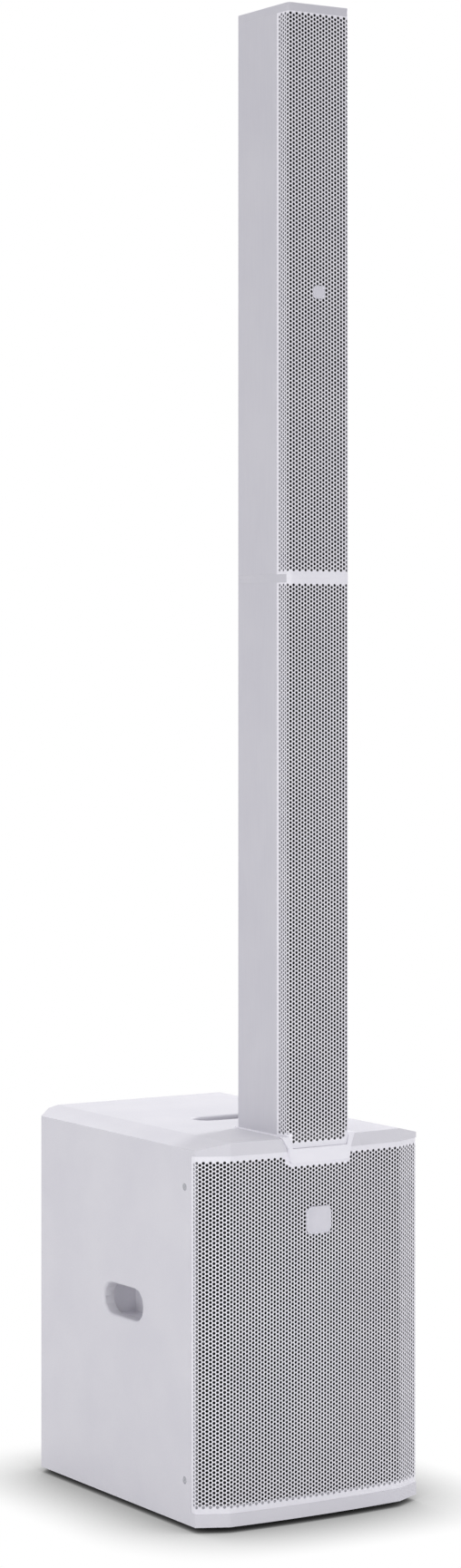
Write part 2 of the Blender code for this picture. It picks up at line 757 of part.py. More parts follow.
def woofer_voice_coil():
    inner = COIL_RADIUS - COIL_FORMER
    top = cone_height(COIL_RADIUS) - CONE_SHEET
    bottom = CONE_FLOOR - COIL_REACH
    profile = [(COIL_RADIUS, top), (COIL_RADIUS, bottom), (inner, bottom), (inner, top)]
    return woofer_part("woofer_voice_coil", profile, "aluminium")


def woofer_spider():
    """A corrugated ring from the voice coil out to the basket's floor."""
    seat = BASKET_FLOOR + SEAT_GAP
    inner, outer = COIL_RADIUS + SEAT_GAP, SPIDER_RADIUS
    waves = []
    for i in range(SPIDER_FOLDS + 1):
        waves.append((inner + (outer - inner) * i / SPIDER_FOLDS, seat + SPIDER_WAVE * (i % 2)))
    upper = [(radius, height + SPIDER_SHEET) for radius, height in waves]
    return woofer_part("woofer_spider", upper + waves[::-1], "spider_cloth")


def woofer_motor():
    """Top plate, ring magnet and yoke, held behind the basket."""
    gap_outer = COIL_RADIUS + COIL_AIR
    pole = COIL_RADIUS - COIL_FORMER - COIL_AIR
    plate_floor = MOTOR_TOP - TOP_PLATE_THICKNESS
    plate = [
        (TOP_PLATE_RADIUS, MOTOR_TOP),
        (TOP_PLATE_RADIUS, plate_floor),
        (gap_outer, plate_floor),
        (gap_outer, MOTOR_TOP),
    ]
    woofer_part("woofer_top_plate", plate, "steel")
    magnet_floor = MAGNET_TOP - MAGNET_THICKNESS
    magnet = [
        (MAGNET_RADIUS, MAGNET_TOP),
        (MAGNET_RADIUS, magnet_floor),
        (MAGNET_BORE, magnet_floor),
        (MAGNET_BORE, MAGNET_TOP),
    ]
    woofer_part("woofer_magnet", magnet, "ferrite")
    yoke = [
        (0, MOTOR_TOP),
        (pole, MOTOR_TOP),
        (pole, YOKE_TOP),
        (YOKE_RADIUS, YOKE_TOP),
        (YOKE_RADIUS, YOKE_TOP - YOKE_THICKNESS),
        (0, YOKE_TOP - YOKE_THICKNESS),
    ]
    woofer_part("woofer_yoke", yoke, "steel")


def handle_cup(name, low, high, pocket_low, pocket_high):
    cup = block(name, low, high)
    cut(cup, block(f"{name} pocket", pocket_low, pocket_high))
    return add_part(cup, "grey_plastic")


def handle_cups():
    """Trays behind the hand holes, taller than the side holes so that fingers hook over the edge."""
    long_half = HANDLE_LENGTH / 2 + CUP_ROOM
    short_half = HANDLE_WIDTH / 2
    y = FRONT + HANDLE_SETBACK
    floor = HANDLE_HEIGHT - short_half - CUP_ROOM
    roof = HANDLE_HEIGHT + short_half + CUP_FINGER_ROOM
    rim = CHAMBER_SIDE - SEAT_GAP
    for name, side in (("left", -1), ("right", 1)):
        ends = sorted((side * rim, side * (rim - CUP_DEPTH)))
        pocket_ends = sorted((side * (rim + BEYOND), side * (rim - CUP_DEPTH + CUP_WALL)))
        handle_cup(
            f"handle_cup_{name}",
            (ends[0], y - long_half - CUP_WALL, floor - CUP_WALL),
            (ends[1], y + long_half + CUP_WALL, roof + CUP_WALL),
            (pocket_ends[0], y - long_half, floor),
            (pocket_ends[1], y + long_half, roof),
        )
    y = FRONT + TOP_HANDLE_SETBACK
    front, back = y - short_half - CUP_ROOM, y + short_half + CUP_FINGER_ROOM
    top = CHAMBER_TOP - SEAT_GAP
    handle_cup(
        "handle_cup_top",
        (-long_half - CUP_WALL, front - CUP_WALL, top - CUP_DEPTH),
        (long_half + CUP_WALL, back + CUP_WALL, top),
        (-long_half, front, top - CUP_DEPTH + CUP_WALL),
        (long_half, back, top + BEYOND),
    )


def column_dock():
    """The plate under the column, with an apron that hooks over the front edge of the box."""
    tongue = FRONT - FRONT_BOW + GRILLE_INSET + GRILLE_SHEET
    profile = [
        (FRONT - APRON_PROUD, APRON_BOTTOM),
        (FRONT - APRON_PROUD, APRON_SHELF - SEAT_GAP),
        (FRONT - APRON_TOP_PROUD, DOCK_TOP),
        (COLUMN_REAR + DOCK_MARGIN, DOCK_TOP),
        (COLUMN_REAR + DOCK_MARGIN, SUB_TOP + SEAT_GAP),
        (FRONT - SEAT_GAP, SUB_TOP + SEAT_GAP),
        (FRONT - SEAT_GAP, CHAMBER_TOP),
        (tongue, CHAMBER_TOP),
        (tongue, APRON_BOTTOM),
    ]
    dock = prism("column_dock", profile, -APRON_TOP_WIDTH, APRON_TOP_WIDTH, "x")
    outside = APRON_TOP_WIDTH + BEYOND
    trim = apron_edge(0)
    trim += [(outside, trim[-1][1]), (outside, trim[0][1])]
    plate_side = COLUMN_SIDE + DOCK_MARGIN
    for side in (-1, 1):
        edge = [(side * across, height) for across, height in trim]
        near, far = sorted((side * plate_side, side * outside))
        low, high = (near, FRONT, SUB_TOP), (far, COLUMN_REAR + BEYOND, DOCK_TOP + BEYOND)
        cut(
            dock,
            prism(f"apron side {side}", edge, FRONT - BEYOND, FRONT + BEYOND, "y"),
            block(f"plate side {side}", low, high),
        )
    skirt = mirrored([
        (-COLUMN_SIDE - SLIDE_GAP - BEYOND * SKIRT_LEAN, COLUMN_BASE + BEYOND),
        (-SKIRT_BOTTOM_WIDTH / 2 - SLIDE_GAP, APRON_SHELF),
    ])
    cut(
        dock,
        prism("skirt pocket", skirt, FRONT - APRON_PROUD - BEYOND, SKIRT_BACK, "y"),
        socket_block("spigot hole", SLIDE_GAP, SUB_TOP - BEYOND, DOCK_TOP + BEYOND),
    )
    return add_part(dock, "white_plastic")


def dock_socket():
    """The cup in the top of the box that takes the spigot, with flanges under the top board."""
    floor = COLUMN_BASE - SOCKET_DROP
    socket = socket_block("dock_socket", SLIDE_GAP + SOCKET_WALL, floor - SOCKET_WALL, SUB_TOP)
    flange_side = SPIGOT_WIDTH / 2 + SLIDE_GAP + SOCKET_WALL + SOCKET_FLANGE
    flange_top = CHAMBER_TOP - SEAT_GAP
    along = SPIGOT_DEPTH / 2
    flange = block(
        "socket flange",
        (-flange_side, SPIGOT_CENTRE - along, flange_top - SOCKET_WALL),
        (flange_side, SPIGOT_CENTRE + along, flange_top),
    )
    join(socket, flange)
    cut(socket, socket_block("socket bore", SLIDE_GAP, floor, SUB_TOP + BEYOND))
    return add_part(socket, "black_plastic")


def amplifier_opening(name, across, height, half_width, half_height):
    """A rectangular hole through the rear panel."""
    low = (across - half_width, PANEL_BACK - BEYOND, height - half_height)
    return block(name, low, (across + half_width, PANEL_FACE + BEYOND, height + half_height))


def knob_places():
    height = PANEL_CENTRE + KNOB_RISE
    return {
        "channel_1_knob": (-KNOB_SPREAD, PANEL_FACE, height),
        "main_knob": (0, PANEL_FACE, height),
        "channel_2_knob": (KNOB_SPREAD, PANEL_FACE, height),
    }


def jack_places():
    height = PANEL_CENTRE + JACK_RISE
    return {
        "input_jack_1": (-KNOB_SPREAD, PANEL_FACE, height),
        "input_jack_2": (KNOB_SPREAD, PANEL_FACE, height),
    }


def amp_panel():
    across, half = PANEL_WIDTH / 2, PANEL_HEIGHT / 2
    low, high = (-across, PANEL_BACK, PANEL_CENTRE - half), (across, PANEL_FACE, PANEL_CENTRE + half)
    panel = block("amp_panel", low, high)
    for places, radius in ((knob_places(), KNOB_SHAFT_RADIUS), (jack_places(), JACK_RADIUS)):
        for name, place in places.items():
            hole = rod(f"{name} hole", radius + SEAT_GAP, -BEYOND, BEYOND, place, "rear", SMALL_STEPS)
            cut(panel, hole)
    display_height = PANEL_CENTRE + DISPLAY_RISE
    window = (DISPLAY_WIDTH / 2 + SEAT_GAP, DISPLAY_HEIGHT / 2 + SEAT_GAP)
    cut(panel, amplifier_opening("display window", 0, display_height, *window))
    inlet_half = (INLET_WIDTH / 2 - INLET_LIP + SEAT_GAP, INLET_HEIGHT / 2 - INLET_LIP + SEAT_GAP)
    cut(panel, amplifier_opening("inlet opening", INLET_PLACE, PANEL_CENTRE - INLET_DROP, *inlet_half))
    return add_part(panel, "black_panel")


def amp_display():
    """A display set in the panel from behind, with a lip that stops it."""
    height = PANEL_CENTRE + DISPLAY_RISE
    across, half = DISPLAY_WIDTH / 2, DISPLAY_HEIGHT / 2
    back = PANEL_BACK - SEAT_GAP
    inside = back - DISPLAY_THICKNESS / 2
    display = block("amp_display", (-across, inside, height - half), (across, PANEL_FACE, height + half))
    across, half = across + DISPLAY_LIP, half + DISPLAY_LIP
    lip_low = (-across, back - DISPLAY_THICKNESS, height - half)
    join(display, block("display lip", lip_low, (across, back, height + half)))
    return add_part(display, "display_glass")


def knobs():
    top = KNOB_HEIGHT
    profile = [
        (0, top),
        (KNOB_TOP_RADIUS, top),
        (KNOB_TOP_RADIUS + KNOB_EDGE, top - KNOB_EDGE),
        (KNOB_RADIUS, SEAT_GAP),
        (KNOB_SHAFT_RADIUS, SEAT_GAP),
        (KNOB_SHAFT_RADIUS, -KNOB_SHAFT_LENGTH),
        (0, -KNOB_SHAFT_LENGTH),
    ]
    for name, place in knob_places().items():
        knob = turned(name, profile, place, "rear", SMALL_STEPS)
        x, y, z = place
        pointer = block(
            f"{name} pointer",
            (x - POINTER_WIDTH / 2, y + top - POINTER_HEIGHT, z),
            (x + POINTER_WIDTH / 2, y + top + POINTER_HEIGHT, z + POINTER_LENGTH),
        )
        join(knob, pointer)
        add_part(knob, "grey_plastic")


def input_jacks():
    for name, place in jack_places().items():
        x, y, z = place
        half = JACK_FLANGE / 2
        face = y + SEAT_GAP + JACK_FLANGE_THICKNESS
        jack = block(name, (x - half, y + SEAT_GAP, z - half), (x + half, face, z + half))
        inside = SEAT_GAP + JACK_FLANGE_THICKNESS / 2
        join(jack, rod(f"{name} barrel", JACK_RADIUS, -JACK_LENGTH, inside, place, "rear", SMALL_STEPS))
        bore_floor = JACK_FLANGE_THICKNESS - JACK_LENGTH
        cut(jack, rod(f"{name} bore", JACK_BORE, bore_floor, BEYOND, place, "rear", SMALL_STEPS))
        add_part(jack, "black_plastic")


def power_inlet():
    """A mains socket with the rocker switch above it, in one frame."""
    x, z = INLET_PLACE, PANEL_CENTRE - INLET_DROP
    across, half = INLET_WIDTH / 2, INLET_HEIGHT / 2
    seat = PANEL_FACE + SEAT_GAP
    face = seat + INLET_FLANGE_THICKNESS
    inlet = block("power_inlet", (x - across, seat, z - half), (x + across, face, z + half))
    across, half = across - INLET_LIP, half - INLET_LIP
    inside = seat + INLET_FLANGE_THICKNESS / 2
    body = block("inlet body", (x - across, face - INLET_DEPTH, z - half), (x + across, inside, z + half))
    join(inlet, body)
    mains = block(
        "mains socket",
        (x - MAINS_WIDTH / 2, face - MAINS_DEPTH, z - MAINS_DROP - MAINS_HEIGHT / 2),
        (x + MAINS_WIDTH / 2, face + BEYOND, z - MAINS_DROP + MAINS_HEIGHT / 2),
    )
    rocker_across = ROCKER_WIDTH / 2 + SEAT_GAP
    rocker_half = ROCKER_LENGTH / 2 + ROCKER_ROOM
    rocker_well = block(
        "rocker well",
        (x - rocker_across, face - ROCKER_THICKNESS - 2 * ROCKER_ROOM, z + ROCKER_RISE - rocker_half),
        (x + rocker_across, face + BEYOND, z + ROCKER_RISE + rocker_half),
    )
    cut(inlet, mains, rocker_well)
    return add_part(inlet, "black_plastic")


def power_rocker():
    """The rocker, tipped to one side at rest, with its origin on its pivot."""
    face = PANEL_FACE + SEAT_GAP + INLET_FLANGE_THICKNESS
    pivot = (INLET_PLACE, face - ROCKER_THICKNESS / 2, PANEL_CENTRE - INLET_DROP + ROCKER_RISE)
    half = ROCKER_LENGTH / 2
    dip = half * math.tan(ROCKER_TILT)
    crest = ROCKER_THICKNESS / 2 + ROCKER_PROUD
    outline = [
        (crest, 0),
        (crest + dip, half),
        (0, half),
        (-ROCKER_THICKNESS / 2, half / 2),
        (-ROCKER_THICKNESS / 2, -half / 2),
        (0, -half),
        (crest + dip, -half),
    ]
    rocker = prism("power_rocker", outline, -ROCKER_WIDTH / 2, ROCKER_WIDTH / 2, "x")
    rocker.location = pivot
    rocker.rotation_euler.rotate_axis("Z", ROCKER_TILT)
    return add_part(rocker, "black_plastic")


def amp_heatsink():
    """A finned block behind the panel, inside the box."""
    left = SINK_OFFSET - SINK_WIDTH / 2
    pitch = (SINK_WIDTH - SINK_FIN_THICKNESS) / (SINK_FINS - 1)
    top = PANEL_BACK - SEAT_GAP
    root = top - SINK_BASE
    outline = [(left, top)]
    for fin in range(SINK_FINS):
        edge = left + pitch * fin
        outline += [(edge, root), (edge, root - SINK_FIN), (edge + SINK_FIN_THICKNESS, root - SINK_FIN)]
        outline.append((edge + SINK_FIN_THICKNESS, root))
    outline.pop(1)
    outline.pop()
    outline.append((left + SINK_WIDTH, top))
    middle = PANEL_CENTRE - SINK_DROP
    sink = prism("amp_heatsink", outline, middle - SINK_HEIGHT / 2, middle + SINK_HEIGHT / 2)
    return add_part(sink, "aluminium")


def amp_board():
    """The amplifier board on standoffs, with its tall parts."""
    z = PANEL_CENTRE + BOARD_RISE
    across, half = BOARD_WIDTH / 2, BOARD_HEIGHT / 2
    face = PANEL_BACK - BOARD_STANDOFF
    board = block("amp_board", (-across, face - BOARD_THICKNESS, z - half), (across, face, z + half))
    for side in (-1, 1):
        for level in (-1, 1):
            place = (side * (across - STANDOFF_INSET), face, z + level * (half - STANDOFF_INSET))
            reach = (-BOARD_THICKNESS / 2, BOARD_STANDOFF - SEAT_GAP)
            join(board, rod(f"standoff {side} {level}", STANDOFF_RADIUS, *reach, place, "rear", SMALL_STEPS))
    reach = (0, CAPACITOR_HEIGHT)
    for number in range(CAPACITORS):
        place = (-across / 2 + number * CAPACITOR_PITCH, face - BOARD_THICKNESS / 2, z + half / 2)
        join(board, rod(f"capacitor {number}", CAPACITOR_RADIUS, *reach, place, "front", SMALL_STEPS))
    side = TRANSFORMER_SIZE / 2
    low = (-side, face - TRANSFORMER_SIZE, z - half / 2 - side)
    join(board, block("transformer", low, (side, face - BOARD_THICKNESS / 2, z - half / 2 + side)))
    return add_part(board, "circuit_board")


def column_outline(front):
    """A whole section in plan with rounded corners, from a given front."""
    middle = (0, COLUMN_REAR)
    half = [middle, (-COLUMN_SIDE, COLUMN_REAR), (-COLUMN_SIDE, front), (0, front)]
    return mirrored(rounded(half, COLUMN_CORNER)[1:-1])


def column_housing(name, low, high):
    path = [
        (-COLUMN_SIDE, HOUSING_FRONT),
        (-COLUMN_SIDE, COLUMN_REAR),
        (COLUMN_SIDE, COLUMN_REAR),
        (COLUMN_SIDE, HOUSING_FRONT),
    ]
    outline = band(rounded(path, COLUMN_CORNER), -HOUSING_WALL, HOUSING_WALL)
    return add_part(prism(f"{name}_housing", outline, low, high), "white_paint")


def column_grille(name, low, high, skirt):
    """The U-shaped grille, which hangs down in front of the dock on the lower section, and its foam."""
    back = HOUSING_FRONT - SEAT_GAP
    corner = [
        (-COLUMN_SIDE, back),
        (-COLUMN_SIDE, COLUMN_FRONT),
        (COLUMN_SIDE, COLUMN_FRONT),
        (COLUMN_SIDE, back),
    ]
    path = rounded(corner, COLUMN_CORNER)
    bottom = SKIRT_BOTTOM if skirt else low
    sheet = prism(f"{name}_grille", band(path, 0, COLUMN_GRILLE_SHEET), bottom, high)
    if skirt:
        legs = (-COLUMN_WIDTH, SKIRT_BACK, SKIRT_BOTTOM - BEYOND)
        cut(sheet, block("skirt legs", legs, (COLUMN_WIDTH, COLUMN_REAR, low)))
        for side in (-1, 1):
            wedge = [
                (side * COLUMN_SIDE, COLUMN_BASE),
                (side * (SKIRT_BOTTOM_WIDTH / 2 - BEYOND * SKIRT_LEAN), SKIRT_BOTTOM - BEYOND),
                (side * COLUMN_WIDTH, SKIRT_BOTTOM - BEYOND),
                (side * COLUMN_WIDTH, COLUMN_BASE),
            ]
            cut(sheet, prism(f"skirt corner {side}", wedge, COLUMN_FRONT - BEYOND, COLUMN_REAR, "y"))
    add_part(sheet, "white_steel")
    foam_path = rounded(offset(corner, COLUMN_GRILLE_SHEET + SEAT_GAP), COLUMN_CORNER)
    foam = prism(f"{name}_foam", band(foam_path, 0, COLUMN_FOAM), low, high)
    return add_part(foam, "black_foam")


def driver_profile():
    """A mid driver with its magnet, from the dust cap out to the flange and back to the axis."""
    top = SEAT_GAP + DRIVER_FLANGE
    body = DRIVER_CUTOUT - SEAT_GAP
    return dome(DRIVER_DOME_RADIUS, DRIVER_DOME_RISE, -DRIVER_CONE_DROP, DOME_STEPS) + [
        (DRIVER_CONE_RADIUS, 0),
        (DRIVER_CONE_RADIUS + DRIVER_FLANGE, top),
        (body, top),
        (DRIVER_RADIUS, top),
        (DRIVER_RADIUS, SEAT_GAP),
        (body, SEAT_GAP),
        (body, -COLUMN_BAFFLE),
        (DRIVER_NECK, -DRIVER_DEPTH / 2),
        (DRIVER_MAGNET, -DRIVER_DEPTH / 2),
        (DRIVER_MAGNET, -DRIVER_DEPTH),
        (0, -DRIVER_DEPTH),
    ]


def horn_profile():
    """The tweeter's round horn and its motor."""
    top = SEAT_GAP + DRIVER_FLANGE
    body = DRIVER_CUTOUT - SEAT_GAP
    flare = []
    for i in range(1, FLARE_STEPS + 1):
        angle = math.pi / 2 * i / FLARE_STEPS
        widening = (body - HORN_THROAT) * (1 - math.cos(angle))
        flare.append((HORN_THROAT + widening, -HORN_DEPTH + (HORN_DEPTH + top) * math.sin(angle)))
    return dome(HORN_THROAT, HORN_DOME_RISE, -HORN_DEPTH, DOME_STEPS) + flare + [
        (DRIVER_RADIUS, top),
        (DRIVER_RADIUS, SEAT_GAP),
        (body, SEAT_GAP),
        (body, -COLUMN_BAFFLE),
        (DRIVER_MAGNET, -DRIVER_DEPTH / 2),
        (DRIVER_MAGNET, -DRIVER_DEPTH),
        (0, -DRIVER_DEPTH),
    ]


def column_drivers(name, low, high, places):
    """The section's baffle and the drivers in it, one for each named place along the section."""
    side = COLUMN_SIDE - HOUSING_WALL - SEAT_GAP
    back = COLUMN_BAFFLE_FRONT + COLUMN_BAFFLE
    baffle = block(f"{name}_baffle", (-side, COLUMN_BAFFLE_FRONT, low), (side, back, high))
    for driver, height in places.items():
        place = (0, COLUMN_BAFFLE_FRONT, height)
        cut(baffle, rod(f"{driver} hole", DRIVER_CUTOUT, -BEYOND, BEYOND, place, "front", DRIVER_STEPS))
        profile = horn_profile() if "tweeter" in driver else driver_profile()
        add_part(turned(driver, profile, place, "front", DRIVER_STEPS), "black_plastic")
    return add_part(baffle, "black_plastic")


def bottom_cap(name, base, front):
    """The foot of a section, with the spigot that plugs in below."""
    cap = prism(f"{name}_bottom_cap", column_outline(front), base, base + CAP_THICKNESS)
    join(cap, socket_block(f"{name} spigot", 0, base - SPIGOT_LENGTH, base + CAP_THICKNESS / 2))
    return add_part(cap, "white_plastic")


def socket_cap(name, top):
    """The top of the lower section, with the socket for the section above."""
    cap = prism(f"{name}_top_cap", column_outline(COLUMN_FRONT), top - CAP_THICKNESS, top)
    floor = top - SOCKET_DROP
    ends = (floor - SOCKET_WALL, top - CAP_THICKNESS / 2)
    join(cap, socket_block(f"{name} socket", SLIDE_GAP + SOCKET_WALL, *ends))
    cut(cap, socket_block(f"{name} socket bore", SLIDE_GAP, floor, top + BEYOND))
    return add_part(cap, "white_plastic")


def top_cap(name, top):
    """The closed top of the upper section."""
    cap = prism(f"{name}_top_cap", column_outline(COLUMN_FRONT), top - TOP_CAP_THICKNESS, top)
    round_edges(cap, EDGE_ROUNDING)
    return add_part(cap, "white_plastic")


def spread(low, high, names):
    """Heights for the names, evenly shared out between two ends."""
    step = (high - low) / len(names)
    return {name: low + step * (i + 0.5) for i, name in enumerate(names)}


def lower_column():
    low = COLUMN_BASE + CAP_THICKNESS + SEAT_GAP
    high = COLUMN_JOINT - CAP_THICKNESS - SEAT_GAP
    bottom_cap("lower", COLUMN_BASE, SKIRT_BACK)
    socket_cap("lower", COLUMN_JOINT)
    column_housing("lower", low, high)
    column_grille("lower", low, high, skirt=True)
    names = [f"lower_driver_{i + 1}" for i in range(DRIVERS_PER_SECTION)]
    column_drivers("lower", low, high, spread(low, COLUMN_JOINT - SOCKET_DROP, names))


def upper_column():
    top = UPPER_BASE + UPPER_LENGTH
    low = UPPER_BASE + CAP_THICKNESS + SEAT_GAP
    high = top - TOP_CAP_THICKNESS - SEAT_GAP
    bottom_cap("upper", UPPER_BASE, COLUMN_FRONT)
    top_cap("upper", top)
    column_housing("upper", low, high)
    column_grille("upper", low, high, skirt=False)
    names = [f"upper_driver_{i + 1}" for i in range(DRIVERS_PER_SECTION)]
    names.insert(DRIVERS_PER_SECTION // 2, "upper_tweeter")
    column_drivers("upper", low, high, spread(low, high, names))


def parent_to_empty(name, place, prefixes):
    """Gathers the pieces of a moving body under an empty on its joint."""
    empty = bpy.data.objects.new(name, None)
    empty.location = place
    PARTS.objects.link(empty)
    bpy.context.view_layer.update()
    for obj in PARTS.objects:
        if obj.type == "MESH" and obj.name.startswith(prefixes):
            obj.parent = empty
            obj.matrix_parent_inverse = empty.matrix_world.inverted()


def build():
    screw_holes = side_screws()
    sub_cabinet(screw_holes)
    feet()
    sub_baffle(screw_holes)
    ports()
    sub_grille()
    woofer_basket()
    woofer_surround()
    woofer_cone()
    woofer_dust_cap()
    woofer_voice_coil()
    woofer_spider()
    woofer_motor()
    handle_cups()
    column_dock()
    dock_socket()
    amp_panel()
    amp_display()
    knobs()
    input_jacks()
    power_inlet()
    power_rocker()
    amp_heatsink()
    amp_board()
    lower_column()
    upper_column()
    parent_to_empty("woofer_stroke", WOOFER_CENTRE, ("woofer_cone", "woofer_dust_cap", "woofer_voice_coil"))
    parent_to_empty("lower_lift", (0, SPIGOT_CENTRE, COLUMN_BASE), ("lower_",))
    parent_to_empty("upper_lift", (0, SPIGOT_CENTRE, UPPER_BASE), ("upper_",))


build()
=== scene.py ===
import json
import math

import bmesh
import bpy
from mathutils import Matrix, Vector
from mathutils.geometry import delaunay_2d_cdt

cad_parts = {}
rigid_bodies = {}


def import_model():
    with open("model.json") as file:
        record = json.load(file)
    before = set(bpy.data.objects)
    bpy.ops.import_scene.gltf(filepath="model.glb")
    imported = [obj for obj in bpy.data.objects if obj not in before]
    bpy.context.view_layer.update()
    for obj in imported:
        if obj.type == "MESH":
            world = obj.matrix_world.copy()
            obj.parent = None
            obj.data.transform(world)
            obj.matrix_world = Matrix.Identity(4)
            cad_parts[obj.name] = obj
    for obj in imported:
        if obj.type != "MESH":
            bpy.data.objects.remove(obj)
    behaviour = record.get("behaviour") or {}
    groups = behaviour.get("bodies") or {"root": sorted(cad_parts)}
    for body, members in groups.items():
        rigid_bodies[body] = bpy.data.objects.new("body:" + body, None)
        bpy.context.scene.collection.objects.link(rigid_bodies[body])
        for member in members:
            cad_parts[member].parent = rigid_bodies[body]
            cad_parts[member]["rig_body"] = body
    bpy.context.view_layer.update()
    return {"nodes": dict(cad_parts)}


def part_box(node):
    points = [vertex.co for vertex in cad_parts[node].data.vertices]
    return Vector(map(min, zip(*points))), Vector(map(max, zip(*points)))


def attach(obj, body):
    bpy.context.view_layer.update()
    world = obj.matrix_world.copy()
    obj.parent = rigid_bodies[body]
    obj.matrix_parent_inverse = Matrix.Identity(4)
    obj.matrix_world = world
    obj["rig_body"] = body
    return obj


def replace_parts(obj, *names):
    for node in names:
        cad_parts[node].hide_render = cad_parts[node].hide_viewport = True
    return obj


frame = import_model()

scene = bpy.context.scene

# ---------------------------------------------------------------- camera

PHOTO_HEIGHT = 1729
FOCAL_PIXELS = 3918.35
HORIZON_ROW = 715.95
EYE = (-2.5872, -4.1411, 1.1501)
EYE_TURN = -32.06

lens = bpy.data.cameras.new("photo camera")
lens.lens = lens.sensor_width * FOCAL_PIXELS / PHOTO_HEIGHT
lens.shift_y = (HORIZON_ROW - PHOTO_HEIGHT / 2) / PHOTO_HEIGHT
camera = bpy.data.objects.new("photo camera", lens)
camera.location = EYE
camera.rotation_euler = (math.pi / 2, 0, math.radians(EYE_TURN))
scene.collection.objects.link(camera)
scene.camera = camera

# ---------------------------------------------------------------- sizes, in metres

# Plan of the bass box's front: a bowed middle between two folds, then a facet on each side
FRONT = -0.224
FRONT_BOW = 0.0055
FRONT_HALF = 0.1345
SIDE = 0.175
FACET_BACK = FRONT + 0.0206
STRIP_BACK = FRONT + 0.0317
BOW_STEPS = 24
SHEET_INSET = 0.0005
BASS_FOLD = 0.012
BASS_CORNER = 0.005
BOX_TOP = 0.508

# Perforation: round holes in a close triangular pattern, with upright columns, in thin sheet
HOLE = 0.00425
HOLE_SIDES = 10
SHEET_THICKNESS = 0.0010
BASS_PITCH = 0.005327
COLUMN_PITCH = {"lower": 0.005336, "upper": 0.005395}

# Rounding: an edge is rounded where it is sharp, or where it turns a little between two broad faces. An edge
# that turns more than CRISP_TURN is shaded crisp.
SHARP_TURN = 50
BROAD_TURN = 5
CRISP_TURN = 35
BROAD_FACE = 0.006
ROUNDING_STEPS = 4

# Radii of the rounded edges, at most, since the bevel stops before edges overlap: on the cabinet shell the
# folds come out 0.4 mm wide, and SHELL_EDGE with no width
SHELL_EDGE = 0.0018
HAND_EDGE = 0.0042
FOLD_EDGE = 0.012
DOCK_RIM_EDGE = 0.0013
GRIP_EDGE = 0.0015
FOOT_EDGE = 0.001
TRIM_EDGE = 0.0006
PANEL_EDGE = 0.0005
WINDOW_EDGE = 0.0004

# How far a piece is drawn out to close a seam, and how near counts as the same level
SEAM = 0.00025
SAME_LEVEL = 0.0001
NEAR = 0.0005

# ---------------------------------------------------------------- materials

# The share of the grain in the colour's patches, and the values between which the colour and the gloss change
GRAIN_SHARE = 0.4
PATCH_VALUES = (0.5, 0.9)
GRAIN_VALUES = (0.25, 0.75)


def linear(code):
    """An sRGB hex colour as linear red, green, blue and alpha."""
    parts = [int(code[i : i + 2], 16) / 255 for i in (1, 3, 5)]
    return [p / 12.92 if p <= 0.04045 else ((p + 0.055) / 1.055) ** 2.4 for p in parts] + [1]


def add(tree, kind, inputs=None, **settings):
    """A new node with its settings, and its inputs set or linked."""
    made = tree.nodes.new(kind)
    for name, value in settings.items():
        setattr(made, name, value)
    for name, value in (inputs or {}).items():
        if isinstance(value, bpy.types.NodeSocket):
            tree.links.new(value, made.inputs[name])
        else:
            made.inputs[name].default_value = value
    return made


def calculated(tree, operation, *values):
    """The result of a sum on values or outputs."""
    return add(tree, "ShaderNodeMath", dict(enumerate(values)), operation=operation).outputs[0]


def spread(tree, value, before, after=(0, 1)):
    """A value carried from one range to another."""
    ends = {"From Min": before[0], "From Max": before[1], "To Min": after[0], "To Max": after[1]}
    return add(tree, "ShaderNodeMapRange", {"Value": value, **ends}).outputs[0]


def finish(name, light, dark, patch, grain, bump, rough, stretch=(1, 1, 1), cells=False, **shader):
    """A material of two near colours in soft patches, with a grain that gives bump and uneven gloss.

    patch and grain are how wide one blotch and one grain are, and bump is how high a grain stands, in
    metres. rough is the lowest and highest roughness. stretch below 1 draws the grain out along that axis.
    cells gives the grain clear borders, and the rest goes to the shader's own sockets.
    """
    made = bpy.data.materials.new(name)
    made.use_nodes = True
    tree = made.node_tree
    place = add(tree, "ShaderNodeTexCoord").outputs["Object"]
    drawn = add(tree, "ShaderNodeMapping", {"Vector": place, "Scale": stretch}).outputs["Vector"]
    blotch = add(tree, "ShaderNodeTexNoise", {"Vector": place, "Scale": 1 / patch, "Detail": 3})
    kind = "ShaderNodeTexVoronoi" if cells else "ShaderNodeTexNoise"
    grains = add(tree, kind, {"Vector": drawn, "Scale": 1 / grain}).outputs[0]
    mixed = calculated(tree, "MULTIPLY_ADD", grains, GRAIN_SHARE, blotch.outputs[0])
    share = spread(tree, mixed, PATCH_VALUES)
    colour = add(tree, "ShaderNodeMix", {0: share, 6: linear(light), 7: linear(dark)}, data_type="RGBA")
    gloss = spread(tree, grains, GRAIN_VALUES, rough)
    relief = add(tree, "ShaderNodeBump", {"Height": grains, "Distance": bump})
    surface = tree.nodes["Principled BSDF"]
    tree.links.new(colour.outputs[2], surface.inputs["Base Color"])
    tree.links.new(gloss, surface.inputs["Roughness"])
    tree.links.new(relief.outputs[0], surface.inputs["Normal"])
    for socket, value in shader.items():
        surface.inputs[socket.replace("_", " ")].default_value = value
    return made


# Structure paint sprayed on plywood: matt white with a faint lilac cast and a fine orange peel.
# The real peel is about 0.8 mm; it is drawn at 1.6 mm so that it shows.
STRUCTURE_PAINT = finish(
    "white_structure_paint", "#dcdbe0", "#d7d6dc", 0.09, 0.0016, 0.00005, (0.46, 0.62), IOR=1.49
)
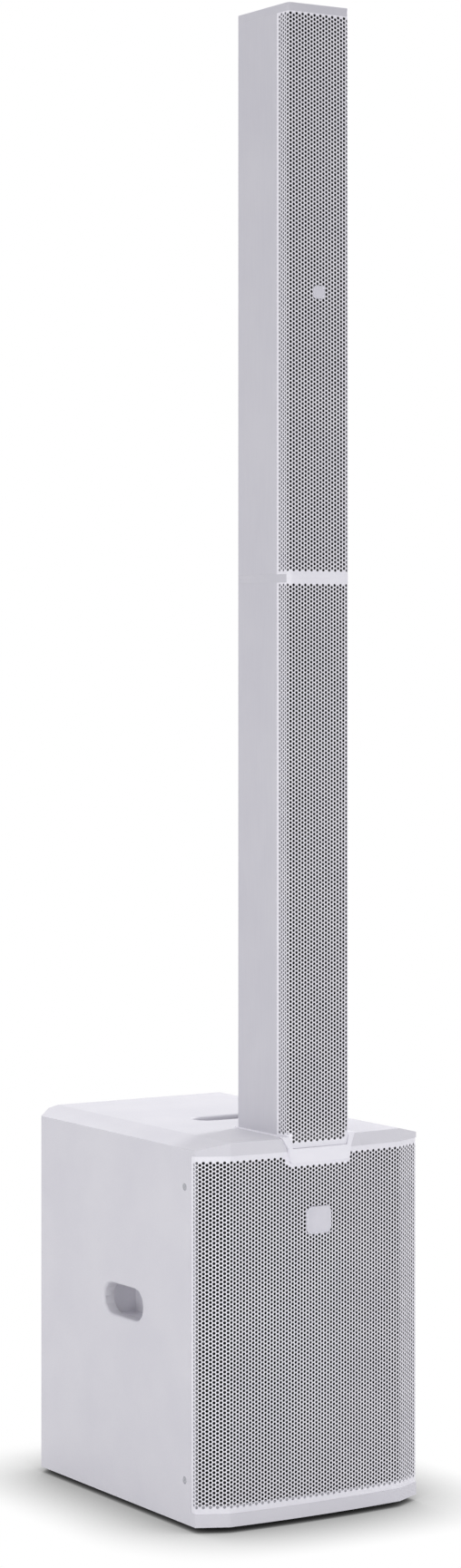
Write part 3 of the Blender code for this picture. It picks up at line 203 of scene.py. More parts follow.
# Powder coat baked on steel sheet: smooth, a little glossier than the box, with a soft wave.
COATED_STEEL = finish(
    "white_powder_coated_steel", "#f0eff4", "#eae9ef", 0.05, 0.0022, 0.00003, (0.34, 0.48), IOR=1.5
)
# Powder coat on an extruded profile: satin, a shade greyer, with the die's faint lines along its length. The
# grey is partly painted shade: it stands for the column getting less light than the box.
ALONG = (1, 1, 0.04)
COATED_ALUMINIUM_WITH_PAINTED_SHADE = finish(
    "white_powder_coated_aluminium_with_painted_shade", "#cdccd2", "#c8c7ce", 0.12, 0.0018, 0.00002, (0.36, 0.5), ALONG, IOR=1.5
)
# Injection-moulded ABS from a spark-eroded tool: an even satin with a fine grit of about 0.5 mm,
# drawn at 1 mm so that it shows.
MOULDED_ABS = finish(
    "white_moulded_abs", "#f4f3f8", "#eeedf3", 0.04, 0.001, 0.00002, (0.38, 0.52), IOR=1.53
)
# The same plastic from a coarser tool for the hand grips: more matt, with a grit of about 1.2 mm.
GRIP_ABS = finish(
    "grained_moulded_abs", "#f4f3f8", "#ecebf1", 0.03, 0.0012, 0.00004, (0.5, 0.65), IOR=1.53
)
# The same plastic tinted to match the column's powder coat: satin, without the die's lines. Its grey is
# partly painted shade, like the coat's.
COLUMN_ABS_WITH_PAINTED_SHADE = finish(
    "tinted_moulded_abs_with_painted_shade", "#cdccd2", "#c8c7ce", 0.04, 0.001, 0.00002, (0.38, 0.52), IOR=1.53
)
# Lacquered plastic of the badge plates: a shade greyer, with a soft pearl.
PEARL_LACQUER = finish(
    "pearl_lacquered_abs", "#dad9e0", "#d2d1d9", 0.02, 0.0008, 0.00001, (0.3, 0.42), IOR=1.5, Coat_Weight=0.15
)
# Moulded ABS dyed black: satin, with the same fine grit.
BLACK_ABS = finish(
    "black_moulded_abs", "#1b1b1d", "#151517", 0.03, 0.001, 0.00003, (0.38, 0.55), IOR=1.53
)
# Soft-touch lacquer over moulded plastic: very matt with a broad grey sheen.
SOFT_TOUCH = finish(
    "soft_touch_knob_plastic", "#58585d", "#4d4d52", 0.01, 0.0006, 0.00002, (0.6, 0.75), Sheen_Weight=0.2
)
# Open-cell polyether foam: black, no gloss, cells of about 1 mm drawn at 1.8 mm.
OPEN_FOAM = finish(
    "black_open_cell_foam", "#0c0c0d", "#040404", 0.03, 0.0018, 0.0009, (0.92, 1.0), cells=True
)
# Moulded rubber: dark grey-black with a dusty bloom.
RUBBER = finish(
    "black_moulded_rubber", "#1c1c1d", "#121213", 0.012, 0.0008, 0.00004, (0.7, 0.85), IOR=1.52
)
# Closed-cell rubber tape: grey and matt, with cells of about 0.4 mm drawn at 0.9 mm. Its grey is painted
# shade: it stands for the white parts behind the last holes, seen in shade.
GREY_TAPE_PAINTED_SHADE = finish(
    "grey_cell_rubber_tape_painted_shade", "#707075", "#606065", 0.012, 0.0009, 0.0001, (0.75, 0.9), cells=True
)
# The same tape in a paler grey, as lighter painted shade for the white parts behind the bass grille's last
# holes.
PALE_TAPE_PAINTED_SHADE = finish(
    "pale_cell_rubber_tape_painted_shade", "#adadb2", "#9d9da2", 0.012, 0.0009, 0.0001, (0.75, 0.9), cells=True
)
# Zinc-plated steel: cool grey with crystal blotches about 2 mm wide.
ZINC_STEEL = finish(
    "zinc_plated_steel", "#a9abae", "#8f9195", 0.004, 0.0009, 0.00001, (0.28, 0.45), cells=True, Metallic=1.0
)
# Zinc plate under a clear passivate: paler and more even than the bare plate.
BRIGHT_ZINC = finish(
    "clear_passivated_zinc", "#babbc0", "#abacb2", 0.003, 0.0008, 0.00001, (0.42, 0.6), Metallic=0.4
)
# Birch plywood under a black water stain: the grain runs across, with fibres about 0.7 mm wide drawn at
# 0.9 mm by 45 mm.
ACROSS = (0.02, 1, 1)
STAINED_BIRCH = finish(
    "black_stained_birch_plywood", "#2c2824", "#191614", 0.05, 0.0009, 0.00008, (0.55, 0.75), ACROSS
)
# Pressure die-cast aluminium under black paint: pebbled casting skin about 1.5 mm.
BLACK_CASTING = finish("black_painted_casting", "#202022", "#161617", 0.02, 0.0015, 0.00008, (0.45, 0.62))
# Pressed paper pulp dyed black: felted fibres about 1 mm with a slightly fuzzy sheen.
PAPER_PULP = finish(
    "black_pressed_paper_pulp", "#26262a", "#161618", 0.012, 0.001, 0.00012, (0.8, 0.95), Sheen_Weight=0.15
)
# Cotton cloth dipped in phenolic resin: amber, with threads 0.6 mm apart drawn at 1.2 mm.
RESIN_CLOTH = finish(
    "resin_dipped_cotton_cloth", "#b98a45", "#96682b", 0.02, 0.0012, 0.0002, (0.5, 0.7), cells=True
)
# Sintered ferrite: flat charcoal grey, with pores of about 0.5 mm drawn at 0.8 mm.
FERRITE = finish("sintered_ferrite", "#3b3c3f", "#2c2d30", 0.015, 0.0008, 0.00005, (0.6, 0.8))
# Plain aluminium: bright, with fine drawing lines.
UPRIGHT = (1, 1, 0.05)
PLAIN_ALUMINIUM = finish(
    "plain_aluminium", "#d4d5d8", "#c2c3c7", 0.03, 0.0008, 0.00001, (0.25, 0.42), UPRIGHT, Metallic=1.0
)
# Brushed aluminium under black anodising: hairlines along the panel's width, 0.3 mm apart drawn at 0.8 mm.
BLACK_ANODISED = finish(
    "black_anodised_aluminium",
    "#2a2a2d",
    "#212124",
    0.08,
    0.0008,
    0.00002,
    (0.36, 0.52),
    ACROSS,
    Metallic=0.6,
)
# Glass-fibre board under green solder mask: semi-gloss, with a copper pattern of about 3 mm under it.
SOLDER_MASK = finish(
    "green_solder_mask", "#1f6b3d", "#14502b", 0.003, 0.003, 0.00002, (0.25, 0.4), cells=True, Coat_Weight=0.3
)
# Smoked acrylic: near black and glossy, faintly hazed by wiping.
SMOKED_ACRYLIC = finish(
    "smoked_acrylic", "#14171a", "#0e1012", 0.03, 0.006, 0.000005, (0.06, 0.12), IOR=1.49, Coat_Weight=0.4
)
# Pad-printed ink: flat warm white, thin at its edges.
PRINT_INK = finish("white_pad_print_ink", "#dcdcda", "#cfcfcd", 0.004, 0.0006, 0.00001, (0.5, 0.65))
# Moulded green polycarbonate lens: saturated, glossy, slightly uneven.
LAMP_LENS = finish(
    "green_lamp_lens", "#2f8f4e", "#246f3c", 0.002, 0.002, 0.00001, (0.1, 0.18), IOR=1.58
)


def dress(material, *nodes):
    """Give a finish to solids that stay as they are."""
    for name in nodes:
        frame["nodes"][name].data.materials[0] = material


# ---------------------------------------------------------------- building pieces


def piece(name, shape, material, body):
    """A shown piece from a bmesh, smooth but for its crisp edges."""
    bmesh.ops.recalc_face_normals(shape, faces=shape.faces)
    mesh = bpy.data.meshes.new(name)
    shape.to_mesh(mesh)
    shape.free()
    mesh.polygons.foreach_set("use_smooth", [True] * len(mesh.polygons))
    mesh.set_sharp_from_angle(angle=math.radians(CRISP_TURN))
    mesh.materials.append(material)
    made = bpy.data.objects.new(name, mesh)
    scene.collection.objects.link(made)
    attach(made, body)
    return made


def middle(edge):
    return (edge.verts[0].co + edge.verts[1].co) / 2


def face_width(face):
    return face.calc_area() / max(edge.calc_length() for edge in face.edges)


def rounded_edges(shape, radius, chosen):
    """Round over the chosen edges, where they are sharp or lie between two broad faces."""
    picked = []
    for edge in shape.edges:
        if not edge.is_manifold or not chosen(middle(edge)):
            continue
        turn = math.degrees(edge.calc_face_angle())
        broad = min(face_width(face) for face in edge.link_faces) > BROAD_FACE
        if turn > SHARP_TURN or (broad and turn > BROAD_TURN):
            picked.append(edge)
    bmesh.ops.bevel(
        shape,
        geom=picked,
        offset=radius,
        segments=ROUNDING_STEPS,
        profile=0.5,
        affect="EDGES",
        clamp_overlap=True,
    )


SAME_POINT = 1e-5
FLAT_TURN = 0.002


def softened(node, name, radius, material, left=None, wider=(), nudged=None):
    """A solid with its edges rounded over, shown in place of the solid.

    left picks places whose edges stay sharp, and wider holds (place picker, radius) for larger roundings.
    nudged gives how far a point is lifted, to close a seam with the next piece.
    """
    solid = frame["nodes"][node]
    shape = bmesh.new()
    shape.from_mesh(solid.data)
    bmesh.ops.remove_doubles(shape, verts=shape.verts, dist=SAME_POINT)
    bmesh.ops.dissolve_limit(shape, angle_limit=FLAT_TURN, verts=shape.verts, edges=shape.edges)
    for vert in shape.verts if nudged else ():
        vert.co.z += nudged(vert.co)
    for chosen, large in wider:
        rounded_edges(shape, large, chosen)
    done = [chosen for chosen, _ in wider] + ([left] if left else [])
    rounded_edges(shape, radius, lambda place: not any(chosen(place) for chosen in done))
    made = piece(name, shape, material, solid["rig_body"])
    even = made.modifiers.new("even shading", "WEIGHTED_NORMAL")
    even.keep_sharp = True
    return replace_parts(made, node)


def skin(shape, rings, looped=False):
    """Quads between rings of points, with a face over each end or the last ring joined to the first."""
    rows = [[shape.verts.new(point) for point in ring] for ring in rings]
    if looped:
        rows.append(rows[0])
    count = len(rows[0])
    for low, high in zip(rows, rows[1:]):
        for i in range(count):
            j = (i + 1) % count
            shape.faces.new((low[i], low[j], high[j], high[i]))
    if not looped:
        shape.faces.new(rows[0][::-1])
        shape.faces.new(rows[-1])


# Ways across, up and out of a face, and the sine and cosine of how far the rocker's raised half leans
RAISED_SINE, RAISED_COSINE = 0.2425, 0.9701
FACINGS = {
    "front": ((1, 0, 0), (0, 0, 1), (0, -1, 0)),
    "rear": ((-1, 0, 0), (0, 0, 1), (0, 1, 0)),
    "left": ((0, -1, 0), (0, 0, 1), (-1, 0, 0)),
    "right": ((0, 1, 0), (0, 0, 1), (1, 0, 0)),
    "rocker's raised half": (
        (-1, 0, 0),
        (0, -RAISED_SINE, RAISED_COSINE),
        (0, RAISED_COSINE, RAISED_SINE),
    ),
}


def stack(shape, layers, place, facing, looped=False):
    """Rings of (across, up) points at levels above a place, skinned into one closed form."""
    across, up, out = (Vector(axis) for axis in FACINGS[facing])
    rings = [
        [Vector(place) + across * u + up * v + out * level for u, v in ring] for ring, level in layers
    ]
    skin(shape, rings, looped)


def polar(reach, turn):
    """The (across, up) point at a way and a turn from the middle."""
    return reach * math.cos(turn), reach * math.sin(turn)


def round_ring(radius, steps=24):
    """A circle as (across, up) points."""
    return [polar(radius, 2 * math.pi * i / steps) for i in range(steps)]


def hex_ring(flats, steps=24):
    """A hexagon measured over its flats, with as many points as a round ring."""
    points = []
    for i in range(steps):
        turn = 2 * math.pi * i / steps
        reach = flats / 2 / math.cos((turn + math.pi / 6) % (math.pi / 3) - math.pi / 6)
        points.append(polar(reach, turn))
    return points


def ribbed_ring(radius, depth, ribs=16, per_rib=4):
    """A round ring with finger grips."""
    points = []
    for i in range(ribs * per_rib):
        turn = 2 * math.pi * i / (ribs * per_rib)
        reach = radius - depth * (0.5 - 0.5 * math.cos(ribs * turn))
        points.append(polar(reach, turn))
    return points


def slab_ring(width, height, corner, steps=5):
    """A rectangle with round corners."""
    points = []
    for quarter, (side, level) in enumerate(((1, 1), (-1, 1), (-1, -1), (1, -1))):
        for i in range(steps + 1):
            turn = math.pi / 2 * (quarter + i / steps)
            u, v = polar(corner, turn)
            points.append((side * (width / 2 - corner) + u, level * (height / 2 - corner) + v))
    return points


SCREW_EDGE_SHARE = 0.12
SCREW_SHANK_SHARE = 0.45


def socket_screw(shape, place, facing, radius, height, flats, depth, sunk=0.0):
    """A screw head with a hexagon socket, closed below at the width of its shank."""
    edge = radius * SCREW_EDGE_SHARE
    stack(
        shape,
        [
            (round_ring(radius * SCREW_SHANK_SHARE), -sunk),
            (round_ring(radius), -sunk),
            (round_ring(radius), height - edge),
            (round_ring(radius - edge), height),
            (hex_ring(flats + edge), height),
            (hex_ring(flats), height - edge / 2),
            (hex_ring(flats), height - depth),
        ],
        place,
        facing,
    )


# ---------------------------------------------------------------- bent sheets

FOLD_STEPS = 8
OUTLINE_STEP = 0.002
LAYOUT_TOLERANCE = 1e-7
# Slack for rounding errors, in metres along a line and in rows of holes
LINE_SLACK = 1e-9
ROW_SLACK = 1e-6


def bent(corners):
    """A sheet's line in plan with each corner rounded, as a function of the way along it from its middle.

    Corners are (x, y, fold radius). Returns the half length and a function that gives the plan point at a
    distance along the line and a depth behind it.
    """
    points = [Vector(corners[0][:2])]
    for before, corner, after in zip(corners, corners[1:], corners[2:]):
        peak, radius = Vector(corner[:2]), corner[2]
        back = (Vector(before[:2]) - peak).normalized()
        ahead = (Vector(after[:2]) - peak).normalized()
        if not radius:
            points.append(peak)
            continue
        half = back.angle(ahead) / 2
        centre = peak + (back + ahead).normalized() * radius / math.sin(half)
        start = peak + back * radius / math.tan(half) - centre
        end = peak + ahead * radius / math.tan(half) - centre
        points += [centre + start.slerp(end, i / FOLD_STEPS) * radius for i in range(FOLD_STEPS + 1)]
    points.append(Vector(corners[-1][:2]))
    marks = [0.0]
    for a, b in zip(points, points[1:]):
        marks.append(marks[-1] + (b - a).length)
    ways = [(b - a).normalized() for a, b in zip(points, points[1:])]
    normals = []
    for i in range(len(points)):
        way = (ways[max(i - 1, 0)] + ways[min(i, len(ways) - 1)]).normalized()
        normals.append(Vector((-way.y, way.x)))
    half_length = marks[-1] / 2

    def at(along, depth):
        target = min(max(along + half_length, 0), marks[-1])
        i = next(k for k in range(1, len(marks)) if marks[k] >= target - LINE_SLACK)
        share = (target - marks[i - 1]) / (marks[i] - marks[i - 1])
        point = points[i - 1].lerp(points[i], share)
        return point + normals[i - 1].lerp(normals[i], share).normalized() * depth

    return half_length, at


def inside(loop, point):
    """Whether a point lies within a closed line."""
    within = False
    for (ax, ay), (bx, by) in zip(loop, loop[1:] + loop[:1]):
        if (ay > point[1]) != (by > point[1]) and point[0] < ax + (bx - ax) * (point[1] - ay) / (by - ay):
            within = not within
    return within


def divided(loop, step):
    """A closed line with points no further apart than a step."""
    points = []
    for (ax, ay), (bx, by) in zip(loop, loop[1:] + loop[:1]):
        parts = max(1, math.ceil(math.hypot(bx - ax, by - ay) / step))
        points += [(ax + (bx - ax) * i / parts, ay + (by - ay) * i / parts) for i in range(parts)]
    return points


def perforated(name, at, outline, holes, body):
    """A bent steel sheet with real holes: laid out flat, filled between the holes, then bent."""
    outline = divided(outline, OUTLINE_STEP)
    loops, points, owner = [], [], []
    for number, loop in enumerate([outline] + holes):
        loops.append(range(len(points), len(points) + len(loop)))
        points += loop
        owner += [number] * len(loop)
    edges = [(loop[i], loop[(i + 1) % len(loop)]) for loop in loops for i in range(len(loop))]
    laid = delaunay_2d_cdt([Vector(p) for p in points], edges, [], 0, LAYOUT_TOLERANCE)
    flat, _, faces, sources = laid[:4]
    place = {source: i for i, found in enumerate(sources) for source in found}
    belongs = [owner[found[0]] for found in sources]
    kept = []
    for a, b, c in faces:
        if belongs[a] == belongs[b] == belongs[c]:
            if belongs[a] or not inside(outline, (flat[a] + flat[b] + flat[c]) / 3):
                continue
        kept.append((a, b, c))
    count = len(flat)
    coords = [(*at(p.x, depth), p.y) for depth in (0, SHEET_THICKNESS) for p in flat]
    faces = kept + [(c + count, b + count, a + count) for a, b, c in kept]
    for a, b in edges:
        faces.append((place[b], place[a], place[a] + count, place[b] + count))
    mesh = bpy.data.meshes.new(name)
    mesh.from_pydata(coords, [], faces)
    shape = bmesh.new()
    shape.from_mesh(mesh)
    bpy.data.meshes.remove(mesh)
    return piece(name, shape, COATED_STEEL, body)


def hole_ring(along, height):
    """The outline of one hole."""
    return [(along + HOLE / 2 * u, height + HOLE / 2 * v) for u, v in round_ring(1, HOLE_SIDES)][::-1]


def hole_places(pitch, shift, reach, low, high, allowed):
    """Hole centres in upright columns, every other column half a pitch lower."""
    step = pitch * math.sqrt(3) / 2
    first = math.ceil((-reach - shift) / step)
    last = math.floor((reach - shift) / step)
    places = []
    for column in range(first, last + 1):
        along = shift + column * step
        top = high - column % 2 * pitch / 2
        heights = [top - row * pitch for row in range(int((top - low) / pitch + ROW_SLACK) + 1)]
        places += [(along, height) for height in heights if allowed(along, height)]
    return places


def strip_ring(at, start, end, steps, near, far, height):
    """A closed line along a sheet, there at one depth and back at another."""
    marks = [start + (end - start) * i / steps for i in range(steps + 1)]
    front = [at(along, near) for along in marks]
    back = [at(along, far) for along in marks[::-1]]
    return [(*point, height) for point in front + back]


FOAM_STEPS = 60
FOAM_INSET = 0.0005
# How far in from an end, and how far the foam's cut edge is drawn in there
FOAM_CUTS = ((0, 0.0008), (0.0003, 0.0003), (0.001, 0))


def foam_pad(name, node, at, half, depths, low, high, body):
    """A foam sheet that follows a grille from behind between two depths, with edges softly cut."""
    levels = [(low + way, cut) for way, cut in FOAM_CUTS] + [((low + high) / 2, 0)]
    levels += [(high - way, cut) for way, cut in FOAM_CUTS[::-1]]
    rings = []
    for height, cut in levels:
        reach = half - FOAM_INSET - cut
        near, far = depths[0] + cut, depths[1] - cut
        rings.append(strip_ring(at, -reach, reach, FOAM_STEPS, near, far, height))
    shape = bmesh.new()
    skin(shape, rings)
    made = piece(name, shape, OPEN_FOAM, body)
    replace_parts(made, node)
    return made


# ---------------------------------------------------------------- bass box

# The dock's plate on the box, and its apron that hangs over the front
DOCK_HALF = 0.057
DOCK_BACK = -0.1015
DOCK_RISE = 0.001
APRON_HALF = 0.0465
APRON_LEAN = 0.0025 / 0.0184
APRON_GAP = 0.0003
APRON_CORNER = 0.0035
APRON_CORNER_STEPS = 5
apron_low, dock_top = (corner.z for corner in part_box("column_dock"))

# The notch behind the apron: half its width, how far back it is seen, and its start
NOTCH_HALF = 0.062
NOTCH_DEPTH = 0.001
NOTCH_LOW = 0.48

# The hand holes: where those in the sides are, half their length and width with a margin, and a level just
# under the one in the top
HAND_HOLE_Y = -0.0163
HAND_HOLE_Z = 0.2733
HAND_HOLE_REACH = 0.054
HAND_HOLE_RISE = 0.023
HAND_HOLE_TOP = 0.507

# How near the corner of the plan a fold's edge is
FOLD_NEAR = 0.002


def apron_seat(place):
    """Whether a place is on the edge of the notch behind the dock's apron."""
    return abs(place.x) < NOTCH_HALF and place.y < FRONT + NOTCH_DEPTH and place.z > NOTCH_LOW


def hand_hole(place):
    """Whether a place is on the outer edge of a hand hole."""
    across, up = abs(place.y - HAND_HOLE_Y), abs(place.z - HAND_HOLE_Z)
    at_side = abs(abs(place.x) - SIDE) < NEAR and across < HAND_HOLE_REACH and up < HAND_HOLE_RISE
    above = abs(place.x) < HAND_HOLE_REACH and abs(place.y) < HAND_HOLE_RISE
    return at_side or (above and place.z > HAND_HOLE_TOP)


def front_fold(place):
    """Whether a place is on a fold of the front lips."""
    return abs(abs(place.x) - FRONT_HALF) < FOLD_NEAR and abs(place.y - FRONT) < FOLD_NEAR


def under_dock(place):
    """How far a point under the dock's plate moves to rest on the box."""
    return -SEAM if BOX_TOP < place.z < BOX_TOP + NEAR else 0


def dock_rim(place):
    """Whether a place is on the upper edge of the dock's plate."""
    return place.z > BOX_TOP + DOCK_RISE and (abs(place.x) > DOCK_HALF or place.y > DOCK_BACK)


def apron_corner(place):
    """Whether a place is on a lower corner of the dock's apron."""
    return abs(abs(place.x) - APRON_HALF) < NEAR and place.z < apron_low + NEAR and place.y < FRONT


softened(
    "sub_cabinet",
    "cabinet_shell",
    SHELL_EDGE,
    STRUCTURE_PAINT,
    left=apron_seat,
    wider=[(hand_hole, HAND_EDGE), (front_fold, FOLD_EDGE)],
)
softened(
    "column_dock",
    "dock_trim",
    TRIM_EDGE,
    MOULDED_ABS,
    wider=[(apron_corner, APRON_CORNER), (dock_rim, DOCK_RIM_EDGE)],
    nudged=under_dock,
)
for cup in ("left", "right", "top"):
    softened(f"handle_cup_{cup}", f"hand_grip_{cup}", GRIP_EDGE, GRIP_ABS)
for end in ("front", "rear"):
    for side in ("left", "right"):
        softened(f"foot_{end}_{side}", f"rubber_foot_{end}_{side}", FOOT_EDGE, RUBBER)

bow_radius = (FRONT_HALF**2 + FRONT_BOW**2) / (2 * FRONT_BOW)
bow_swing = math.asin(FRONT_HALF / bow_radius)
bow_front = FRONT - FRONT_BOW + SHEET_INSET
bow_line = []
for i in range(BOW_STEPS + 1):
    turn = bow_swing * (2 * i / BOW_STEPS - 1)
    fold = BASS_FOLD if i in (0, BOW_STEPS) else 0
    bow_line.append((bow_radius * math.sin(turn), bow_front + bow_radius * (1 - math.cos(turn)), fold))
left_line = [(-SIDE + SHEET_INSET, STRIP_BACK, 0), (-SIDE + SHEET_INSET, FACET_BACK, BASS_CORNER)]
right_line = [(-x, y, fold) for x, y, fold in left_line[::-1]]
bass_half, bass_at = bent(left_line + bow_line + right_line)

sheet_low, sheet_high = (corner.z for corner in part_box("sub_grille"))
edge_low, edge_high = sheet_low - SEAM, sheet_high + SEAM


# Least ways from a hole's centre to the apron: all round it, beside it and below it
APRON_CLEAR = 0.0039
APRON_BESIDE = 0.0025
APRON_BELOW = 0.0055


def apron_reach(height):
    """Half the width of the sheet's notch for the apron."""
    return APRON_HALF + (height - apron_low) * APRON_LEAN + APRON_GAP


def clear_of_apron(along, height):
    """Whether a hole is far enough from the dock's apron, which has rounded lower corners."""
    beside = abs(along) - apron_reach(height)
    below = apron_low - height
    gap = max(beside, below)
    if min(beside, below) > -APRON_CORNER:
        gap = math.hypot(beside + APRON_CORNER, below + APRON_CORNER) - APRON_CORNER
    return gap > APRON_CLEAR and (beside > APRON_BESIDE or below > APRON_BELOW)


# Where the holes start: off the sheet's middle, from its ends, and from its lower and upper edge
BASS_SHIFT = -0.0030
BASS_MARGIN = 0.003
LOW_ROW = 0.0070
HIGH_ROW = 0.0084
bass_holes = hole_places(
    BASS_PITCH,
    BASS_SHIFT,
    bass_half - BASS_MARGIN,
    sheet_low + LOW_ROW,
    sheet_high - HIGH_ROW,
    clear_of_apron,
)
# The sheet is drawn in two halves that meet between two columns of holes
seam = BASS_SHIFT + BASS_PITCH * math.sqrt(3) / 4
notch_low = apron_low - APRON_GAP
notch_corner = APRON_CORNER + APRON_GAP
for name, sign in (("left", -1), ("right", 1)):
    reach = apron_reach(notch_low)
    outline = [(sign * bass_half, edge_low), (seam, edge_low), (seam, notch_low)]
    for i in range(APRON_CORNER_STEPS + 1):
        turn = math.pi / 2 * i / APRON_CORNER_STEPS
        across = reach - notch_corner * (1 - math.sin(turn))
        outline.append((sign * across, notch_low + notch_corner * (1 - math.cos(turn))))
    outline += [(sign * apron_reach(edge_high), edge_high), (sign * bass_half, edge_high)]
    if sign > 0:
        outline.reverse()
    holes = [hole_ring(s, z) for s, z in bass_holes if (s - seam) * sign > 0]
    sheet = perforated(f"bass_grille_{name}", bass_at, outline, holes, "subwoofer")
    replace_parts(sheet, "sub_grille")

# The foam stops short of the sheet's ends, where tape shows grey through the last holes: its grey is painted
# shade for the white parts behind them, seen in shade. Their faces are given as ways behind the sheet's
# front.
RIM_SHOWS = 0.0118
RIM_WIDTH = 0.0108
RIM_END = 0.0004
TAPE_STEPS = 40
BASS_TAPE = (0.0012, 0.0030)
BASS_FOAM = (0.0018, 0.0068)


def tape(shape, at, depths, start, end, low, high):
    """A strip that follows a sheet between two places along it, with its faces at two depths."""
    skin(shape, [strip_ring(at, start, end, TAPE_STEPS, *depths, height) for height in (low, high)])


shade_tape = bmesh.new()
edge, inner = bass_half - RIM_END, bass_half - RIM_WIDTH
rim_low, rim_high = sheet_low + RIM_END, sheet_high - RIM_END
for start, end, high in (
    (-edge, -inner, rim_high),
    (inner, edge, rim_high),
    (RIM_END - inner, inner - RIM_END, sheet_low + RIM_WIDTH),
):
    tape(shade_tape, bass_at, BASS_TAPE, start, end, rim_low, high)
piece("bass_grille_painted_shade_tape", shade_tape, PALE_TAPE_PAINTED_SHADE, "subwoofer")
foam_pad(
    "bass_grille_foam",
    "sub_grille_foam",
    bass_at,
    bass_half - RIM_SHOWS,
    BASS_FOAM,
    sheet_low + RIM_SHOWS,
    sheet_high,
    "subwoofer",
)

# ---------------------------------------------------------------- column sections

COLUMN_HALF = 0.048
COLUMN_FRONT = -0.2305
COLUMN_CORNER = 0.005
RETURN_BACK = -0.2018

# Where the holes start: off the sheet's middle, from its top and from its base. The margins are the least
# ways from a hole's centre to the ends of the returns, the top and the base.
COLUMN_SHIFT = {"lower": 0.0016, "upper": 0.0022}
TOP_ROW = {"lower": 0.0008, "upper": 0.0031}
FIRST_ROW = 0.003
RETURN_MARGIN = 0.0048
TOP_MARGIN = 0.0026
BASE_MARGIN = 0.0024

# Tape behind the returns, grey as painted shade, and foam
RETURN_TAPE = 0.0215
COLUMN_TAPE = (0.00106, 0.00142)
COLUMN_FOAM = (0.0015, 0.0055)

# The caps, and how near a seam an edge stays sharp. The head has no seam, and this level leaves it out.
CAP_GAP = 0.0003
CAP_HEIGHT = 0.005
CAP_EDGE = 0.0009
SEAM_REACH = 0.0065
HIGHEST_SEAM = 1.98

# The skirt of the lower sheet, which hangs over the dock
SKIRT_HALF = 0.0425
SKIRT_LEAN = 0.0055 / 0.0156
SKIRT_MARGIN = 0.0055
SKIRT_ROW = 0.0065
skirt_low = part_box("lower_grille")[0].z

# The lower sheet's returns go on down over the foot cap to the dock
CUFF_GAP = 0.00045
CUFF_PROUD = 0.00025
CUFF_MARGIN = 0.0015
CUFF_TAPE = (0.00006, 0.0002)
cuff_low = dock_top + CUFF_GAP


def skirt_half(height):
    """Half the width of the lower sheet where it hangs over the dock."""
    return SKIRT_HALF + (height - skirt_low) * SKIRT_LEAN


column_half, column_at = bent(
    [
        (-COLUMN_HALF, RETURN_BACK, 0),
        (-COLUMN_HALF, COLUMN_FRONT, COLUMN_CORNER),
        (COLUMN_HALF, COLUMN_FRONT, COLUMN_CORNER),
        (COLUMN_HALF, RETURN_BACK, 0),
    ]
)
for section in ("lower", "upper"):
    body = f"{section}_column"
    start, stop = (corner.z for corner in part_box(f"{section}_housing"))

    def at_end(place):
        """Whether a place is in a seam of the section, or in the joint below or above it."""
        return min(abs(place.z - start), abs(place.z - min(stop, HIGHEST_SEAM))) < SEAM_REACH

    def to_profile(place):
        """How far a cap's point moves so that the caps close on the profile and on what is below."""
        if abs(place.z - start + CAP_GAP) < SAME_LEVEL:
            return SEAM
        if abs(place.z - start + CAP_GAP + CAP_HEIGHT) < SAME_LEVEL:
            return -SEAM
        if section == "lower":
            return -SEAM if abs(place.z - stop - CAP_GAP) < SAME_LEVEL else 0
        return -CAP_EDGE if stop < place.z < stop + CAP_EDGE + CAP_GAP else 0

    softened(
        f"{section}_housing",
        f"{section}_profile",
        TRIM_EDGE,
        COATED_ALUMINIUM_WITH_PAINTED_SHADE,
        left=at_end,
    )
    for end, name in (("bottom", "foot"), ("top", "head")):
        cap = softened(
            f"{section}_{end}_cap",
            f"{section}_{name}_cap",
            TRIM_EDGE,
            COLUMN_ABS_WITH_PAINTED_SHADE,
            left=at_end,
            nudged=to_profile,
        )
        if (section, end) == ("lower", "bottom"):
            for vertex in cap.data.vertices:
                vertex.co.x *= 1 - CUFF_PROUD / COLUMN_HALF
    low, high = (corner.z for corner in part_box(f"{section}_grille"))
    foam_low, foam_high = (corner.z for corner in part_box(f"{section}_foam"))
    skirt = section == "lower"
    base = cuff_low if skirt else foam_low
    outline = [(-column_half, base), (column_half, base), (column_half, high), (-column_half, high)]
    if skirt:
        outline[1:1] = [(-skirt_half(base), base), (-SKIRT_HALF, low), (SKIRT_HALF, low)]
        outline[4:4] = [(skirt_half(base), base)]

    def on_sheet(along, height):
        """Whether a hole's centre is far enough from the sheet's edges."""
        if height > high - TOP_MARGIN:
            return False
        return height > base + BASE_MARGIN or (skirt and abs(along) < skirt_half(height) - SKIRT_MARGIN)

    centres = hole_places(
        COLUMN_PITCH[section],
        COLUMN_SHIFT[section],
        column_half - RETURN_MARGIN,
        low + SKIRT_ROW if skirt else base + FIRST_ROW,
        high - TOP_ROW[section],
        on_sheet,
    )
    holes = [hole_ring(s, z) for s, z in centres]
    sheet = perforated(f"{section}_column_grille", column_at, outline, holes, body)
    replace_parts(sheet, f"{section}_grille")
    foam_pad(
        f"{section}_column_foam",
        f"{section}_foam",
        column_at,
        column_half,
        COLUMN_FOAM,
        foam_low,
        foam_high,
        body,
    )
    # Grey tape behind the last holes of the returns and the cuff, as painted shade
    shade_tape = bmesh.new()
    edge, inner = column_half - RIM_END, column_half - RETURN_TAPE
    for ends in ((-edge, -inner), (inner, edge)):
        tape(shade_tape, column_at, COLUMN_TAPE, *ends, foam_low + RIM_END, high - RIM_END)
    if skirt:
        inner = skirt_half(foam_low) + CUFF_MARGIN
        for ends in ((-edge, -inner), (inner, edge)):
            tape(shade_tape, column_at, CUFF_TAPE, *ends, base + RIM_END, foam_low + RIM_END)
    piece(f"{section}_column_painted_shade_tape", shade_tape, GREY_TAPE_PAINTED_SHADE, body)

